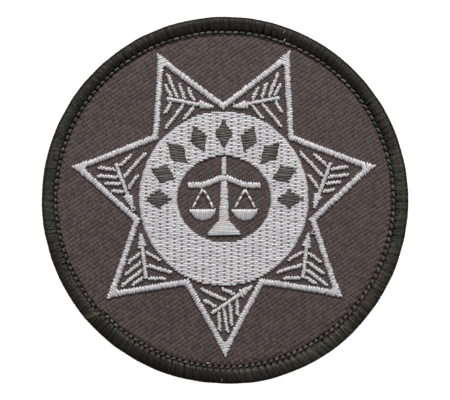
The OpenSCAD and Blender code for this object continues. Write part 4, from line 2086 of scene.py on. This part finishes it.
@dataclass
class Studio:
    """Pale floor, soft lights and the camera straight above the patch.

    Attributes:
        lamps: A long light beyond the design's top, as in a scanner, and two weak ones at the sides.
        sky_strength: Brightness of the even light from all around.
        floor_size: Length of the floor's sides.
        floor_level: Level of the floor, just under the patch.
        frame_width: Width of what the camera sees.
        lens: Focal length of the camera in mm.
        level: Level at which the frame has that width.
    """

    lamps: tuple[Lamp, ...] = (
        Lamp("key", place=(0.0, 0.54, 0.44), size=(1.00, 0.20), power=8.5),
        Lamp("right fill", place=(0.26, 0.0, 0.28), size=(0.10, 0.20), power=0.18),
        Lamp("left fill", place=(-0.26, 0.0, 0.28), size=(0.10, 0.20), power=0.12),
    )
    sky_strength: float = 0.165
    floor_size: float = 3.0
    floor_level: float = -0.05 * MM
    frame_width: float = 93.55 * MM
    lens: float = 120.0
    level: float = 1.2 * MM

    def build(self) -> None:
        """Set up the floor, the lights, the sky and the camera."""
        self.floor()
        for lamp in self.lamps:
            lamp.hang()
        self.sky()
        self.camera()
        bpy.context.scene.view_settings.view_transform = "Standard"

    def floor(self) -> None:
        """Lay a wide pale floor just under the patch, which the camera sees as bright as a light table."""
        deselect_all()
        bpy.ops.mesh.primitive_plane_add(size=self.floor_size, location=(0.0, 0.0, self.floor_level))
        floor = bpy.context.active_object
        floor.name = "floor"
        material = bpy.data.materials.new("pale floor")
        material.use_nodes = True
        surface = material.node_tree.nodes["Principled BSDF"]
        surface.inputs["Base Color"].default_value = (0.2, 0.2, 0.2, 1.0)
        surface.inputs["Roughness"].default_value = 0.9
        surface.inputs["Specular IOR Level"].default_value = 0.1
        surface.inputs["Emission Color"].default_value = (1.0, 1.0, 1.0, 1.0)
        seen = material.node_tree.nodes.new("ShaderNodeLightPath").outputs["Is Camera Ray"]
        material.node_tree.links.new(seen, surface.inputs["Emission Strength"])
        floor.data.materials.append(material)

    def sky(self) -> None:
        """Surround the patch with even white light."""
        world = bpy.data.worlds.new("even light")
        world.use_nodes = True
        background = world.node_tree.nodes["Background"]
        background.inputs["Color"].default_value = (1.0, 1.0, 1.0, 1.0)
        background.inputs["Strength"].default_value = self.sky_strength
        bpy.context.scene.world = world

    def camera(self) -> None:
        """Hang the camera straight above the patch's middle, with the design's top up."""
        data = bpy.data.cameras.new("camera")
        data.lens = self.lens
        data.sensor_width = 36.0
        camera = bpy.data.objects.new("camera", data)
        bpy.context.scene.collection.objects.link(camera)
        camera.location = (0.0, 0.0, self.level + self.frame_width * self.lens / data.sensor_width)
        camera.rotation_euler = (0.0, 0.0, 0.0)
        data.clip_start, data.clip_end = 0.01, 10.0
        bpy.context.scene.camera = camera


POINTS = ("upper_right", "right", "lower_right", "bottom", "lower_left", "left", "upper_left")


def build_stitched_shapes(floor: float, ring_top: float) -> None:
    """Sew the arrows, barbs, scales and lozenges.

    Args:
        floor: Level of the cloth's face.
        ring_top: Level of the ring's top.
    """
    shapes = SatinShapes()
    barb = Stitching(pitch=0.29 * MM, width=0.40 * MM, shoulder=0.26 * MM)
    pan = Stitching(
        pitch=0.21 * MM,
        depth=0.18 * MM,
        shoulder=0.5 * MM,
        waver=0.02 * MM,
        lift=0.012 * MM,
        tilt=0.16,
        droop=0.12 * MM,
        # Strong painted highlight along the pans' upper edges.
        rim=1.45,
        tone=0.85,
        tone_spread=0.13,
    )
    column = Stitching(
        pitch=0.24 * MM,
        width=0.45 * MM,
        depth=0.2 * MM,
        shoulder=0.3 * MM,
        waver=0.06 * MM,
        lift=0.012 * MM,
        tilt=0.12,
        tone=0.95,
    )
    solid = Stitching(
        pitch=0.20 * MM,
        width=0.50 * MM,
        depth=0.18 * MM,
        shoulder=0.3 * MM,
        waver=0.03 * MM,
        lift=0.01 * MM,
        tilt=0.10,
        tone=0.95,
    )
    for point in POINTS:
        shapes.shape(f"arrow_{point}", Grain.ACROSS, floor)
        shapes.shape(f"barbs_{point}", Grain.ACROSS, floor, barb)
    shapes.shape("scales_finial", Grain.LEVEL, floor, column)
    shapes.shape("scales_beam", Grain.UPRIGHT, floor)
    shapes.shape("scales_post", Grain.LEVEL, floor, column)
    shapes.shape("scales_base", Grain.LEVEL, floor, solid)
    for side in ("left", "right"):
        shapes.cords(f"{side}_cords", floor)
        shapes.shape(f"{side}_pan", Grain.UPRIGHT, floor, pan)
    dark = Stitching(shoulder=0.6 * MM)
    for number in range(1, 10):
        shapes.shape(f"lozenge_{number}", Grain.LEVEL, ring_top, dark, DARK, Slot.DARK)


def main() -> None:
    """Build the patch in order and set up the studio."""
    logging.basicConfig(level=logging.INFO, format="%(name)s: %(message)s")
    floor = float(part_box("ground_cloth")[1].z)
    holes = HoleLine()
    ring = RingRows().build(floor)
    GroundCloth(holes).build(ring)
    WoundEdge(holes).build()
    NeedleLine(holes).build()
    StarBand().build(floor)
    build_stitched_shapes(floor, ring.high)
    LooseFibres().build(floor)
    Studio().build()


if __name__ == "__main__":
    main()
